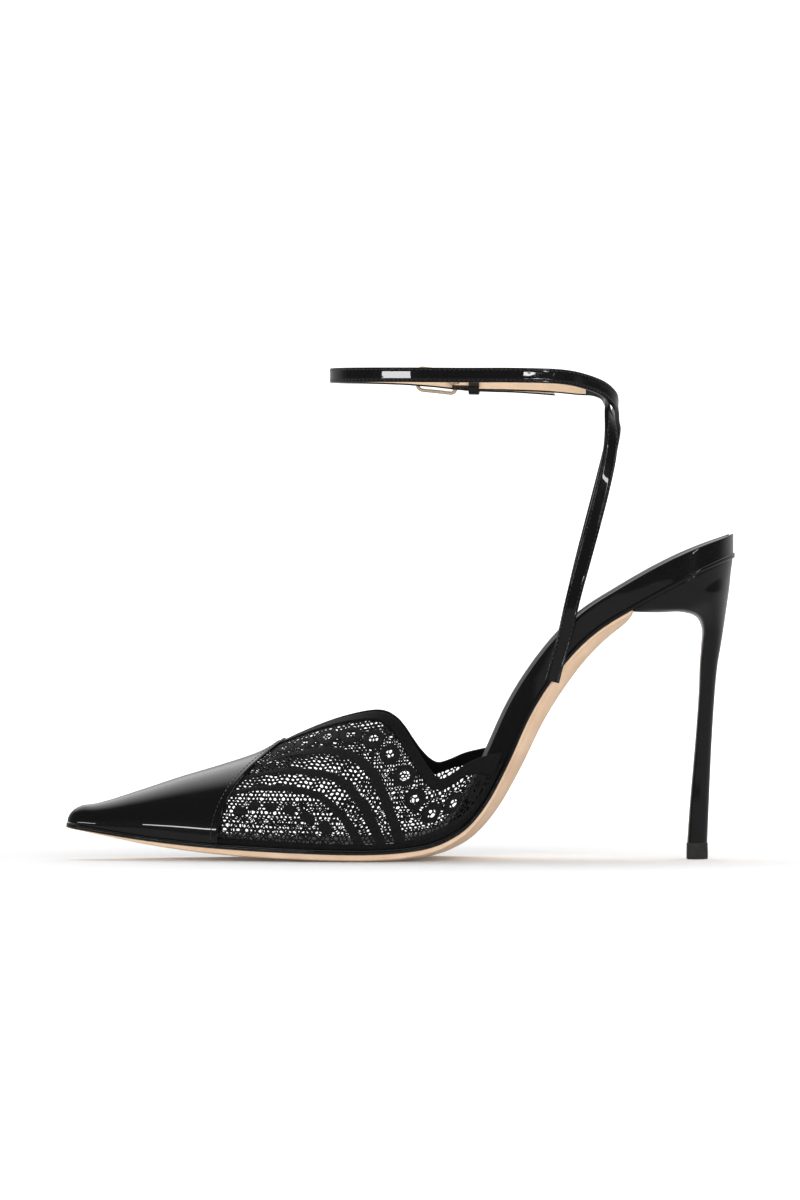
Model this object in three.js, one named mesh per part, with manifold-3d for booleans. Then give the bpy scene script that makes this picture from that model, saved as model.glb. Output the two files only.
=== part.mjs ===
// A right-foot ankle strap pump: lace vamp, patent toe cap, patent-wrapped footbed, stiletto heel
// and two narrow straps that cross behind the ankle and buckle on the outer side.
// Millimetres, +Z up, toe towards -X, outer (lateral) side towards +Y.
// The origin is on the floor, in the middle of the tread.
import * as THREE from 'three';
import { mergeVertices } from 'three/addons/utils/BufferGeometryUtils.js';
import Module from 'manifold-3d';

const manifold = await Module();
manifold.setup();

// Driving sizes of the last and the sole
const shoeLength = 222.9;
const toeReach = 98.6; // toe tip to the middle of the tread
const seatRise = 100.6; // floor to the underside of the rand at the back of the seat
const ballWidth = 66.4; // footbed, from side to side at the ball
const peakRise = 50.2; // floor to the top of the lace petals
const toeRound = 3.6; // radius of the toe in plan
const noseRound = 6.5; // length over which the toe rises to its full height
const seatRound = 21; // radius of the seat's back in plan
const clearance = 0.3; // air between neighbouring curved pieces

// Thicknesses and margins
const bedThickness = 6.2; // wrapped edge of the footbed in the waist
const bedEdgeRound = 1.2;
const bedToeGap = 3; // how far the footbed ends behind the inside of the toe
const bedToeTuck = 1.4; // how much narrower it is there
const bedDish = 0.6; // how far the footbed's middle lies under its rim
const randThickness = 1.5;
const randMargin = 2.8; // rand beyond the footbed, in the forepart
const randRearMargin = 0.5;
const soleThickness = 2.2;
const soleMargin = 2.0; // outsole beyond the footbed, in the forepart
const soleWaistMargin = -1.0;
const vampWall = 1.0;
const capThickness = 0.7;
const capGap = 0.4; // air under the cap, whose facets differ from the upper's
const capBack = 22.5; // how far the cap's edge runs back between its side and its peak
const capSide = 50.2; // toe tip to the cap's edge at the side
const capSlant = 0.2; // how much the cap's outer skin is trimmed for its thickness
const bindingWidth = 4.2;
const bindingStep = 0.45;
const bindingRamp = 0.4; // length of the slope up to the binding
const bindingStart = 4; // length behind the throat over which the binding rises
const sideBulge = 1.1;
const bulgeReach = 30; // length over which the sides come to their full bulge
const nosePuff = 4; // how much thicker the toe's stiffened wall is at its tip
const noseReach = 30; // length over which it thins to the plain wall
const wingEnd = 145.2; // toe tip to the end of the lace wings
const fadeBefore = 12; // the forepart's margins fade to the waist's from this far before the wings' end
const fadeAfter = 8;
const dishReach = 12; // width over which the footbed comes to its full dish
const toeTrim = 0.1; // the first section lies this far behind the very tip
const endTrim = 0.05;

// Heel
const breastPlace = 188.2; // toe tip to the heel's front lip
const topPieceHeight = 5.5;
const tipFlare = 0.25; // top piece beyond the heel's tip, at the floor

// Straps
const strapWidth = 4.9;
const strapThickness = 1.6;
const strapChamfer = 0.4;
const strapGap = 0.45; // strap's back to the footbed's side
const loopFront = 9.9; // tread to the strap's front, towards the toe
const loopLength = 95.1;
const loopWidth = 54;
const bandRise = 160.5; // floor to the middle of the ankle band
const strapFoot = 161.5; // toe tip to the straps' lower ends
const footStagger = 1; // how much further back the outer strap's foot stands
const footReach = 6.8; // how far back each strap leans while it lies on the footbed's side
const footRise = 26.7; // height over which it does so
const blockReach = 20; // length, each way, over which the straps' ends are trimmed to the rand

// Buckle and keeper
const barRadius = 0.65;
const frameLength = 12.7; // from bar to bar
const frameHeight = 8.8;
const frameSwing = 0.9; // how far the front bar stands out from the strap's line
const frameLift = 1.1; // how far the front bar stands over the rear one
const foldWall = 0.7; // strap end round the rear bar
const prongRadius = 0.5;
const prongEye = 1.4; // length of the prong's eye along the bar
const prongBack = 0.1; // how far the prong's rod runs into its eye
const prongLift = 0.4; // how far it stands out there
const keeperWidth = 3.6;
const keeperWall = 0.9;
const keeperPlace = 6.4; // rear bar to the middle of the keeper

// Shares and powers of the curves
const widthPower = 0.95; // of the cosine, in the upper's half width
const heightPower = 1.08; // of the sine, in its height
const capPower = 1.15;
const crownPower = 2.4;
const bindingShare = 0.6; // most of the wall that the binding covers
const heelFrontShare = 0.72; // width of the heel's flat front, as a share of the section's
const heelFrontRound = 0.14;
const kneeGrow = 1.04; // the buckle's corners, as a share of its bar

// How finely the shapes are cut
const soleStations = 46;
const foreStations = 12;
const rearStations = 22;
const wallSamples = 24;
const blockStations = 16;
const strapFinesse = 3;

// The last's bottom, one row for each section from toe to seat. along is a share of shoeLength,
// rise of seatRise, inner and outer (half widths) of ballWidth, bed of bedThickness,
// edge and crown (depth of the outsole at its side and middle) of soleThickness.
const bottom = [
  { along: 0.0, rise: 0.106, inner: 0.018, outer: 0.018, bed: 0.16, edge: 0.06, crown: 0.1 },
  { along: 0.025, rise: 0.096, inner: 0.045, outer: 0.046, bed: 0.2, edge: 0.1, crown: 0.16 },
  { along: 0.06, rise: 0.083, inner: 0.088, outer: 0.092, bed: 0.24, edge: 0.2, crown: 0.3 },
  { along: 0.127, rise: 0.062, inner: 0.175, outer: 0.187, bed: 0.3, edge: 0.45, crown: 0.65 },
  { along: 0.202, rise: 0.045, inner: 0.265, outer: 0.285, bed: 0.3, edge: 0.7, crown: 0.95 },
  { along: 0.277, rise: 0.034, inner: 0.355, outer: 0.385, bed: 0.3, edge: 0.8, crown: 1.15 },
  { along: 0.351, rise: 0.027, inner: 0.435, outer: 0.47, bed: 0.3, edge: 0.8, crown: 1.2 },
  { along: 0.425, rise: 0.023, inner: 0.476, outer: 0.524, bed: 0.3, edge: 0.8, crown: 1.25 },
  { along: 0.476, rise: 0.025, inner: 0.466, outer: 0.53, bed: 0.3, edge: 0.8, crown: 1.3 },
  { along: 0.513, rise: 0.032, inner: 0.44, outer: 0.518, bed: 0.3, edge: 0.75, crown: 1.35 },
  { along: 0.543, rise: 0.044, inner: 0.412, outer: 0.5, bed: 0.35, edge: 0.7, crown: 1.45 },
  { along: 0.572, rise: 0.069, inner: 0.378, outer: 0.475, bed: 0.5, edge: 0.6, crown: 1.6 },
  { along: 0.602, rise: 0.115, inner: 0.342, outer: 0.445, bed: 0.75, edge: 0.5, crown: 1.75 },
  { along: 0.632, rise: 0.2, inner: 0.312, outer: 0.412, bed: 0.93, edge: 0.4, crown: 1.9 },
  { along: 0.662, rise: 0.327, inner: 0.29, outer: 0.382, bed: 1.0, edge: 0.35, crown: 2.1 },
  { along: 0.692, rise: 0.473, inner: 0.28, outer: 0.362, bed: 1.0, edge: 0.35, crown: 2.3 },
  { along: 0.722, rise: 0.582, inner: 0.28, outer: 0.35, bed: 1.0, edge: 0.35, crown: 2.3 },
  { along: 0.759, rise: 0.685, inner: 0.288, outer: 0.345, bed: 1.02, edge: 0.35, crown: 2.1 },
  { along: 0.796, rise: 0.759, inner: 0.304, outer: 0.346, bed: 1.05, edge: 0.35, crown: 1.8 },
  { along: 0.844, rise: 0.825, inner: 0.33, outer: 0.352, bed: 1.08, edge: 0.4, crown: 1.2 },
  { along: 0.9, rise: 0.894, inner: 0.35, outer: 0.358, bed: 1.12, edge: 0.4, crown: 0.6 },
  { along: 0.951, rise: 0.953, inner: 0.36, outer: 0.362, bed: 1.1, edge: 0.4, crown: 0.5 },
  { along: 1.0, rise: 1.0, inner: 0.362, outer: 0.362, bed: 1.02, edge: 0.4, crown: 0.5 },
];

// Height of the last's ridge over the floor, as a share of peakRise, under the cap and the lace.
const ridge = [
  { along: 0.0, rise: 0.335 },
  { along: 0.045, rise: 0.35 },
  { along: 0.108, rise: 0.434 },
  { along: 0.17, rise: 0.525 },
  { along: 0.233, rise: 0.609 },
  { along: 0.288, rise: 0.692 },
  { along: 0.326, rise: 0.785 },
  { along: 0.37, rise: 0.89 },
  { along: 0.45, rise: 1.09 },
  { along: 0.54, rise: 1.34 },
  { along: 0.62, rise: 1.56 },
  { along: 0.7, rise: 1.74 },
];

// The lace's top edge: a petal and a wing on each side, as shares of peakRise over the floor.
const topline = [
  { along: 0.326, inner: 0.785, outer: 0.785 },
  { along: 0.35, inner: 0.835, outer: 0.835 },
  { along: 0.386, inner: 0.9, outer: 0.9 },
  { along: 0.422, inner: 0.949, outer: 0.95 },
  { along: 0.458, inner: 0.976, outer: 0.98 },
  { along: 0.478, inner: 0.966, outer: 0.972 },
  { along: 0.494, inner: 0.921, outer: 0.93 },
  { along: 0.506, inner: 0.858, outer: 0.87 },
  { along: 0.518, inner: 0.773, outer: 0.79 },
  { along: 0.53, inner: 0.688, outer: 0.715 },
  { along: 0.543, inner: 0.603, outer: 0.655 },
  { along: 0.556, inner: 0.543, outer: 0.625 },
  { along: 0.572, inner: 0.56, outer: 0.642 },
  { along: 0.595, inner: 0.63, outer: 0.685 },
  { along: 0.618, inner: 0.675, outer: 0.71 },
  { along: 0.652, inner: 0.705, outer: 0.735 },
];

// The heel's sections under the seat, front and back as seen from the side: along is a share of
// shoeLength, rise of seatRise, width (half) of ballWidth, round of the section's own length.
const heelSections = [
  { front: 0.8805, frontRise: 0.817, back: 0.996, backRise: 0.951, width: 0.327, round: 0.3 },
  { front: 0.918, frontRise: 0.819, back: 0.9925, backRise: 0.898, width: 0.285, round: 0.4 },
  { front: 0.9418, frontRise: 0.805, back: 0.9875, backRise: 0.835, width: 0.205, round: 0.5 },
  { front: 0.9512, frontRise: 0.7654, back: 0.983, backRise: 0.7654, width: 0.125, round: 0.55 },
  { front: 0.95, frontRise: 0.7058, back: 0.9785, backRise: 0.702, width: 0.086, round: 0.55 },
  { front: 0.9478, frontRise: 0.643, back: 0.974, backRise: 0.643, width: 0.069, round: 0.55 },
  { front: 0.9463, frontRise: 0.553, back: 0.97, backRise: 0.553, width: 0.06, round: 0.55 },
  { front: 0.9418, frontRise: 0.411, back: 0.9658, backRise: 0.411, width: 0.055, round: 0.55 },
  { front: 0.9373, frontRise: 0.295, back: 0.9632, backRise: 0.295, width: 0.054, round: 0.55 },
  { front: 0.9328, frontRise: 0.179, back: 0.961, backRise: 0.179, width: 0.055, round: 0.55 },
];
const heelTip = { front: 0.929, back: 0.9586, width: 0.056, round: 0.55 };

// How each strap leaves the footbed: ahead is a share of footReach, up of footRise.
const strapFeet = [
  { ahead: 0, up: 0 },
  { ahead: 0.25, up: 0.25 },
  { ahead: 0.56, up: 0.505 },
  { ahead: 1, up: 1 },
];

// Middle line of the strap from the inner side: along is a share of loopLength from the loop's
// front, side of half of loopWidth (+ outer), rise of bandRise. facing is the way that its patent
// side looks in plan, in degrees: -90 inner side, 0 back, 90 outer side.
const innerRoute = [
  { along: 0.876, side: -0.72, rise: 0.6205, facing: -89 },
  { along: 0.9105, side: -0.655, rise: 0.695, facing: -85 },
  { along: 0.943, side: -0.56, rise: 0.7695, facing: -78 },
  { along: 0.9695, side: -0.43, rise: 0.844, facing: -66 },
  { along: 0.974, side: -0.32, rise: 0.888, facing: -50 },
  { along: 0.968, side: -0.185, rise: 0.925, facing: -28 },
  { along: 0.963, side: -0.02, rise: 0.951, facing: 0 },
  { along: 0.952, side: 0.16, rise: 0.969, facing: 27 },
  { along: 0.92, side: 0.33, rise: 0.978, facing: 43 },
  { along: 0.871, side: 0.55, rise: 0.981, facing: 55 },
  { along: 0.7665, side: 0.79, rise: 0.988, facing: 67 },
  { along: 0.6265, side: 0.955, rise: 0.992, facing: 80 },
  { along: 0.5, side: 0.998, rise: 0.9935, facing: 87 },
  { along: 0.434, side: 1.0, rise: 0.9945, facing: 90 },
];

// Middle line of the strap from the outer side, by the same columns: over the back, along the
// inner side, round the front, up through the buckle and back along the outer side.
const outerRoute = [
  { along: 0.881, side: 0.85, rise: 0.6205, facing: 89 },
  { along: 0.913, side: 0.78, rise: 0.695, facing: 85 },
  { along: 0.945, side: 0.67, rise: 0.7695, facing: 78 },
  { along: 0.975, side: 0.51, rise: 0.844, facing: 66 },
  { along: 0.9915, side: 0.36, rise: 0.895, facing: 50 },
  { along: 0.9925, side: 0.19, rise: 0.9205, facing: 28 },
  { along: 0.995, side: 0.0, rise: 0.9395, facing: 0 },
  { along: 0.981, side: -0.22, rise: 0.957, facing: -28 },
  { along: 0.942, side: -0.41, rise: 0.9755, facing: -46 },
  { along: 0.87, side: -0.63, rise: 0.9905, facing: -60 },
  { along: 0.8, side: -0.79, rise: 0.9975, facing: -68 },
  { along: 0.65, side: -0.95, rise: 1.0, facing: -80 },
  { along: 0.45, side: -1.0, rise: 1.0, facing: -90 },
  { along: 0.27, side: -0.93, rise: 1.001, facing: -104 },
  { along: 0.13, side: -0.74, rise: 1.002, facing: -122 },
  { along: 0.04, side: -0.44, rise: 1.003, facing: -146 },
  { along: 0.0, side: 0.0, rise: 1.004, facing: -180 },
  { along: 0.04, side: 0.44, rise: 1.005, facing: -214 },
  { along: 0.13, side: 0.74, rise: 1.0055, facing: -238 },
  { along: 0.25, side: 0.915, rise: 1.004, facing: -257 },
  { along: 0.314, side: 0.963, rise: 1.0015, facing: -262 },
  { along: 0.36, side: 1.005, rise: 0.9995, facing: -260 },
  { along: 0.41, side: 1.085, rise: 0.9965, facing: -262 },
  { along: 0.45, side: 1.107, rise: 0.994, facing: -270 },
  { along: 0.49, side: 1.094, rise: 0.992, facing: -273 },
  { along: 0.56, side: 1.07, rise: 0.99, facing: -276 },
  { along: 0.636, side: 1.028, rise: 0.9885, facing: -281 },
  { along: 0.709, side: 0.96, rise: 0.9855, facing: -288 },
  { along: 0.776, side: 0.868, rise: 0.982, facing: -293 },
];

const mix = (a, b, t) => a + (b - a) * t;
const clamp = (v, low, high) => Math.min(high, Math.max(low, v));
const ease = (from, to, v) => {
  const t = clamp((v - from) / (to - from), 0, 1);
  return t * t * (3 - 2 * t);
};

// Quarter circle from 0 to 1, which rounds the ends of an outline.
const roundEnd = (t) => Math.sqrt(1 - (1 - clamp(t, 0.004, 1)) ** 2);

// A column of a table at a place between its rows: a cubic through the rows, with their mean slopes.
function follow(table, column, along) {
  const last = table.length - 1;
  const slope = (i) => {
    const a = table[Math.max(i - 1, 0)];
    const b = table[Math.min(i + 1, last)];
    return (b[column] - a[column]) / (b.along - a.along);
  };
  const at = clamp(along, table[0].along, table[last].along);
  let i = 0;
  while (i < last - 1 && at > table[i + 1].along) i += 1;
  const span = table[i + 1].along - table[i].along;
  const t = (at - table[i].along) / span;
  return (
    table[i][column] * (2 * t ** 3 - 3 * t ** 2 + 1) +
    table[i + 1][column] * (3 * t ** 2 - 2 * t ** 3) +
    slope(i) * span * (t ** 3 - 2 * t ** 2 + t) +
    slope(i + 1) * span * (t ** 3 - t ** 2)
  );
}

const share = (length) => length / shoeLength;
const bottomRise = (length) => seatRise * follow(bottom, 'rise', share(length));

// Angle of the last's bottom at a length from the toe.
function pitch(length) {
  const step = 0.5;
  return Math.atan2(bottomRise(length + step) - bottomRise(length - step), 2 * step);
}

// The way the layers stack up: square to the bottom, and upright at the back of the seat.
const lean = (length) => pitch(length) * (1 - ease(0.86, 0.985, share(length)));

// A point of the shoe: length from the toe, side (+ outer), height over the last's bottom.
function place(length, side, height) {
  const angle = lean(length);
  return new THREE.Vector3(
    length - toeReach - Math.sin(angle) * height,
    side,
    bottomRise(length) + Math.cos(angle) * height,
  );
}

// Half width of a layer that stands margin outside the footbed. hand is -1 inner, +1 outer.
function halfWidth(length, hand, margin) {
  const column = hand < 0 ? 'inner' : 'outer';
  const toe = length - (randMargin - margin);
  const heel = shoeLength - Math.max(randRearMargin - margin, 0) - length;
  return (
    (ballWidth * follow(bottom, column, share(length)) + margin) *
    roundEnd(toe / toeRound) *
    roundEnd(heel / seatRound)
  );
}

// Lengths from one end to the other, closer together at round ends and where the sole bends.
function lengths(from, to, count, closeAtEnd = true) {
  return Array.from({ length: count + 1 }, (_, i) => {
    const t = i / count;
    const eased = closeAtEnd ? (1 - Math.cos(Math.PI * t)) / 2 : 1 - Math.cos((Math.PI * t) / 2);
    return mix(from, to, mix(t, eased, 0.7));
  });
}

// A mesh's geometry from points and faces of point numbers, facing outwards.
function geometry(points, faces) {
  const made = new THREE.BufferGeometry();
  made.setAttribute('position', new THREE.Float32BufferAttribute(points.flatMap((p) => p.toArray()), 3));
  const volume = faces.reduce((sum, [a, b, c]) => {
    const cross = new THREE.Vector3().crossVectors(points[b], points[c]);
    return sum + points[a].dot(cross);
  }, 0);
  made.setIndex(faces.flatMap(([a, b, c]) => (volume < 0 ? [a, c, b] : [a, b, c])));
  return mergeVertices(made, 1e-4);
}

// A solid through closed loops of equally many points, with fan caps.
function loft(loops) {
  const count = loops[0].length;
  const points = loops.flat();
  const faces = [];
  for (let i = 0; i + 1 < loops.length; i += 1) {
    for (let j = 0; j < count; j += 1) {
      const a = i * count + j;
      const b = i * count + ((j + 1) % count);
      faces.push([a, b, b + count], [a, b + count, a + count]);
    }
  }
  for (const end of [0, loops.length - 1]) {
    const middle = loops[end].reduce((sum, p) => sum.add(p), new THREE.Vector3()).divideScalar(count);
    const hub = points.push(middle) - 1;
    for (let j = 0; j < count; j += 1) {
      const a = end * count + j;
      const b = end * count + ((j + 1) % count);
      faces.push(end === 0 ? [hub, b, a] : [hub, a, b]);
    }
  }
  return geometry(points, faces);
}

function asSolid(made) {
  const plain = new THREE.BufferGeometry().copy(made).deleteAttribute('normal').deleteAttribute('uv');
  const bare = mergeVertices(plain);
  return new manifold.Manifold(
    new manifold.Mesh({
      numProp: 3,
      vertProperties: new Float32Array(bare.attributes.position.array),
      triVerts: new Uint32Array(bare.index.array),
    }),
  );
}

function fromSolid(body) {
  const mesh = body.getMesh();
  const made = new THREE.BufferGeometry();
  made.setAttribute('position', new THREE.Float32BufferAttribute(mesh.vertProperties, 3));
  made.setIndex(new THREE.Uint32BufferAttribute(mesh.triVerts, 1));
  return made;
}

// Margin of a layer that changes from its forepart value to its rear value at the wings' end.
const marginAt = (length, fore, rear) =>
  mix(fore, rear, ease(wingEnd - fadeBefore, wingEnd + fadeAfter, length));

// Rand: the thin black edge between the upper and the outsole.
function rand() {
  const loops = lengths(endTrim, shoeLength - endTrim, soleStations).map((length) => {
    const margin = marginAt(length, randMargin, randRearMargin);
    const inner = -halfWidth(length, -1, margin);
    const outer = halfWidth(length, 1, margin);
    return [
      place(length, inner, 0),
      place(length, outer, 0),
      place(length, outer, randThickness),
      place(length, inner, randThickness),
    ];
  });
  return loft(loops);
}

// Footbed: insole board with its pad, wrapped edge and dished top.
function footbed() {
  const from = randMargin + bedToeGap;
  const to = shoeLength - randRearMargin - endTrim;
  const loops = lengths(from, to, soleStations).map((length) => {
    const low = randThickness + clearance;
    const high = low + bedThickness * follow(bottom, 'bed', share(length));
    const margin = -bedToeTuck * (1 - ease(0, noseReach, length));
    const inner = -halfWidth(length, -1, margin);
    const outer = halfWidth(length, 1, margin);
    const round = Math.min(bedEdgeRound, (high - low) * 0.45, (outer - inner) * 0.2);
    const rim = [
      [0, round],
      [round * 0.3, round * 0.3],
      [round, 0],
    ];
    const middle = (inner + outer) / 2;
    const dish = bedDish * ease(0, dishReach, outer - inner);
    return [
      place(length, inner, low),
      place(length, outer, low),
      ...rim.map(([inward, down]) => place(length, outer - inward, high - down)),
      place(length, middle, high - dish),
      ...rim.reverse().map(([inward, down]) => place(length, inner + inward, high - down)),
    ];
  });
  return loft(loops);
}

// Outsole: flat where it treads, crowned in the waist, ending at the heel's front lip.
function outsole() {
  const across = [1, 0.86, 0.6, 0.3, 0, -0.3, -0.6, -0.86, -1];
  const from = randMargin - soleMargin + toeTrim;
  const loops = lengths(from, breastPlace - clearance, soleStations).map((length) => {
    const margin = marginAt(length, soleMargin, soleWaistMargin);
    const edge = soleThickness * follow(bottom, 'edge', share(length));
    const crown = soleThickness * follow(bottom, 'crown', share(length));
    const inner = -halfWidth(length, -1, margin);
    const outer = halfWidth(length, 1, margin);
    const under = across.map((v) => {
      const depth = mix(crown, edge, Math.abs(v) ** crownPower);
      const point = place(length, v > 0 ? v * outer : -v * inner, -clearance - depth);
      point.z = Math.max(point.z, 0);
      return point;
    });
    return [place(length, inner, -clearance), place(length, outer, -clearance), ...under];
  });
  return loft(loops);
}

// Height over the floor at which the upper stands on the rand.
const upperFoot = (length) => bottomRise(length) + (randThickness + clearance) / Math.cos(pitch(length));

// A point of the upper: hand -1 inner, +1 outer; turn 0 at the rand to 90 degrees on the ridge;
// grow is how far the surface stands outside the lace.
function skin(length, hand, turn, grow) {
  const margin = clearance + vampWall + grow;
  const foot = upperFoot(length);
  const nose = roundEnd((length - (randMargin - margin)) / noseRound);
  const height = (peakRise * follow(ridge, 'rise', share(length)) + grow - foot) * nose;
  const base = halfWidth(length, hand, margin);
  const full = sideBulge * ease(0, bulgeReach, length);
  return new THREE.Vector3(
    length - toeReach,
    hand * (base * Math.cos(turn) ** widthPower + full * Math.sin(2 * turn)),
    foot + height * Math.sin(turn) ** heightPower,
  );
}

// The turn at which the upper's top edge lies.
function topTurn(length, hand) {
  const along = share(length);
  if (along <= topline[0].along) return Math.PI / 2;
  const foot = upperFoot(length);
  const whole = peakRise * follow(ridge, 'rise', along) - foot;
  const edge = peakRise * follow(topline, hand < 0 ? 'inner' : 'outer', along) - foot;
  return Math.asin(clamp(edge / whole, 0.02, 1) ** (1 / heightPower));
}

// Points up one side of a section, at distances from its foot and back from its top edge.
function wallRow(length, hand, grow, fractions, lift, back = () => 0) {
  const top = topTurn(length, hand);
  const at = (turn, extra) => skin(length + back(turn), hand, turn, grow + extra);
  const fine = Array.from({ length: wallSamples + 1 }, (_, i) => at((top * i) / wallSamples, 0));
  const run = [0];
  for (let i = 1; i < fine.length; i += 1) run.push(run[i - 1] + fine[i].distanceTo(fine[i - 1]));
  const whole = run[run.length - 1];
  const band = Math.min(bindingWidth, whole * bindingShare);
  const stops = [...fractions.map((f) => f * (whole - band)), whole - band + bindingRamp, whole];
  return stops.map((stop, j) => {
    let i = 0;
    while (i < run.length - 2 && run[i + 1] < stop) i += 1;
    const t = (stop - run[i]) / (run[i + 1] - run[i]);
    const turn = (top * (i + t)) / wallSamples;
    return at(turn, j >= fractions.length ? lift : 0);
  });
}

// A shell from two sheets for each side: sheets[hand][station][row], outer skin and inner skin.
// split is the first station at which the two sides part.
function shell(outerSkin, innerSkin, split) {
  const points = [];
  const faces = [];
  const add = (p) => points.push(p) - 1;
  const quad = (a, b, c, d) => faces.push([a, b, c], [a, c, d]);
  const stations = outerSkin[0].length;
  const rows = outerSkin[0][0].length;
  const numbered = (sheets) => sheets.map((sheet) => sheet.map((row) => row.map(add)));
  const out = numbered(outerSkin);
  const inn = numbered(innerSkin);
  for (const hand of [0, 1]) {
    const face = hand === 0 ? quad : (a, b, c, d) => quad(d, c, b, a);
    for (let i = 0; i + 1 < stations; i += 1) {
      for (let j = 0; j + 1 < rows; j += 1) {
        face(out[hand][i][j], out[hand][i + 1][j], out[hand][i + 1][j + 1], out[hand][i][j + 1]);
        face(inn[hand][i][j + 1], inn[hand][i + 1][j + 1], inn[hand][i + 1][j], inn[hand][i][j]);
      }
      face(out[hand][i + 1][0], out[hand][i][0], inn[hand][i][0], inn[hand][i + 1][0]);
      if (i >= split) {
        const top = rows - 1;
        face(out[hand][i][top], out[hand][i + 1][top], inn[hand][i + 1][top], inn[hand][i][top]);
      }
    }
    const end = stations - 1;
    for (let j = 0; j + 1 < rows; j += 1) {
      face(out[hand][end][j + 1], out[hand][end][j], inn[hand][end][j], inn[hand][end][j + 1]);
    }
  }
  // the nose: a cap on each skin and the underside between them
  const arc = (skinRows) => [...skinRows[0][0], ...[...skinRows[1][0]].reverse().slice(1)];
  for (const [ring, turned] of [
    [arc(out), false],
    [arc(inn), true],
  ]) {
    for (let j = 1; j + 1 < ring.length; j += 1) {
      faces.push(turned ? [ring[0], ring[j + 1], ring[j]] : [ring[0], ring[j], ring[j + 1]]);
    }
  }
  quad(out[0][0][0], out[1][0][0], inn[1][0][0], inn[0][0][0]);
  return geometry(points, faces);
}

// Upper: the lace vamp as one hollow wall, on under the toe cap, with petals, notches and wings.
function upper() {
  const throat = topline[0].along * shoeLength;
  const fore = lengths(randMargin - clearance - vampWall + toeTrim, throat, foreStations, false).map(
    (_, i, all) => all[0] + all[all.length - 1] - all[all.length - 1 - i],
  );
  const rear = Array.from({ length: rearStations }, (_, i) => mix(throat, wingEnd, (i + 1) / rearStations));
  const stations = [...fore, ...rear];
  const fractions = [0, 0.17, 0.34, 0.52, 0.7, 0.86, 1];
  const fade = (length) => clamp(1 - (length - stations[0]) / noseReach, 0, 1) ** 2;
  const outerSkin = [-1, 1].map((hand) =>
    stations.map((length) => {
      const lift = bindingStep * ease(throat, throat + bindingStart, length);
      return wallRow(length, hand, 0, fractions, lift);
    }),
  );
  const innerSkin = [-1, 1].map((hand) =>
    stations.map((length) => {
      const back = (turn) => (vampWall + nosePuff * Math.sin(turn) ** 2) * fade(length);
      return wallRow(length, hand, -vampWall, fractions, 0, back);
    }),
  );
  return shell(outerSkin, innerSkin, fore.length - 1);
}

// Toe cap: a patent overlay whose back edge peaks on the ridge.
function toeCap() {
  const turns = [0, 0.14, 0.28, 0.42, 0.56, 0.7, 0.84, 1].map((t) => (t * Math.PI) / 2);
  const steps = [0, 0.012, 0.035, 0.075, 0.14, 0.24, 0.36, 0.5, 0.64, 0.78, 0.9, 1];
  const sheet = (hand, grow) => {
    const nose = randMargin - clearance - vampWall - grow + toeTrim;
    return steps.map((t) =>
      turns.map((turn) => {
        const edge = capSide + capBack * (1 - Math.cos(turn)) ** capPower;
        return skin(mix(nose, edge - grow * capSlant, t), hand, turn, grow);
      }),
    );
  };
  const outerSkin = [-1, 1].map((hand) => sheet(hand, capGap + capThickness));
  const innerSkin = [-1, 1].map((hand) => sheet(hand, capGap));
  return shell(outerSkin, innerSkin, steps.length);
}

// One section of the heel: a loop of points between its front and back, square to them.
const heelSteps = [0, 0.05, 0.14, 0.3, 0.48, 0.65, 0.8, 0.91, 0.98, 1];
function heelLoop(front, back, width, round) {
  const side = (hand) =>
    heelSteps.map((t) => {
      const corner = mix(heelFrontShare, 1, roundEnd(t / heelFrontRound));
      const point = new THREE.Vector3().lerpVectors(front, back, t);
      point.y = hand * ballWidth * width * corner * roundEnd((1 - t) / round);
      return point;
    });
  return [...side(-1), ...side(1).reverse()];
}
const sidePoint = (along, z) => new THREE.Vector3(along * shoeLength - toeReach, 0, z);

// Heel: its top fits the sloping seat, and its sections swing from there to the level tip.
function heel() {
  const rim = -clearance;
  const backEnd = shoeLength - randRearMargin + rim - endTrim;
  const seat = (hand) =>
    heelSteps.map((t) => {
      const length = mix(breastPlace, backEnd, t);
      return place(length, hand * halfWidth(length, hand, rim), -clearance);
    });
  const loops = heelSections.map((row) =>
    heelLoop(
      sidePoint(row.front, row.frontRise * seatRise),
      sidePoint(row.back, row.backRise * seatRise),
      row.width,
      row.round,
    ),
  );
  const tipRise = topPieceHeight + clearance;
  const tip = heelLoop(
    sidePoint(heelTip.front, tipRise),
    sidePoint(heelTip.back, tipRise),
    heelTip.width,
    heelTip.round,
  );
  return loft([[...seat(-1), ...seat(1).reverse()], ...loops, tip]);
}

// Top piece: the wearing piece under the tip, a little wider at the floor.
function topPiece() {
  const flare = share(tipFlare);
  const loop = (z, extra) =>
    heelLoop(
      sidePoint(heelTip.front - extra, z),
      sidePoint(heelTip.back + extra, z),
      heelTip.width + (extra * shoeLength) / ballWidth,
      heelTip.round,
    );
  return loft([loop(topPieceHeight, flare / 2), loop(0, flare)]);
}

// Route of a strap: its feet on the footbed's side, then its table.
function strapRoute(hand, table) {
  const foot = strapFoot + (hand > 0 ? footStagger : 0);
  const feet = strapFeet.map(({ ahead, up }) => {
    const length = foot + footReach * ahead;
    const nearby = length + bedThickness * Math.sin(pitch(length));
    const side = halfWidth(nearby, hand, strapGap + strapThickness / 2);
    return {
      point: new THREE.Vector3(length - toeReach, hand * side, bottomRise(strapFoot) + footRise * up),
      facing: hand * 90,
    };
  });
  const rows = table.map(({ along, side, rise, facing }) => ({
    point: new THREE.Vector3(loopLength * along - loopFront, (loopWidth / 2) * side, bandRise * rise),
    facing,
  }));
  return [...feet, ...rows];
}

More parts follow.
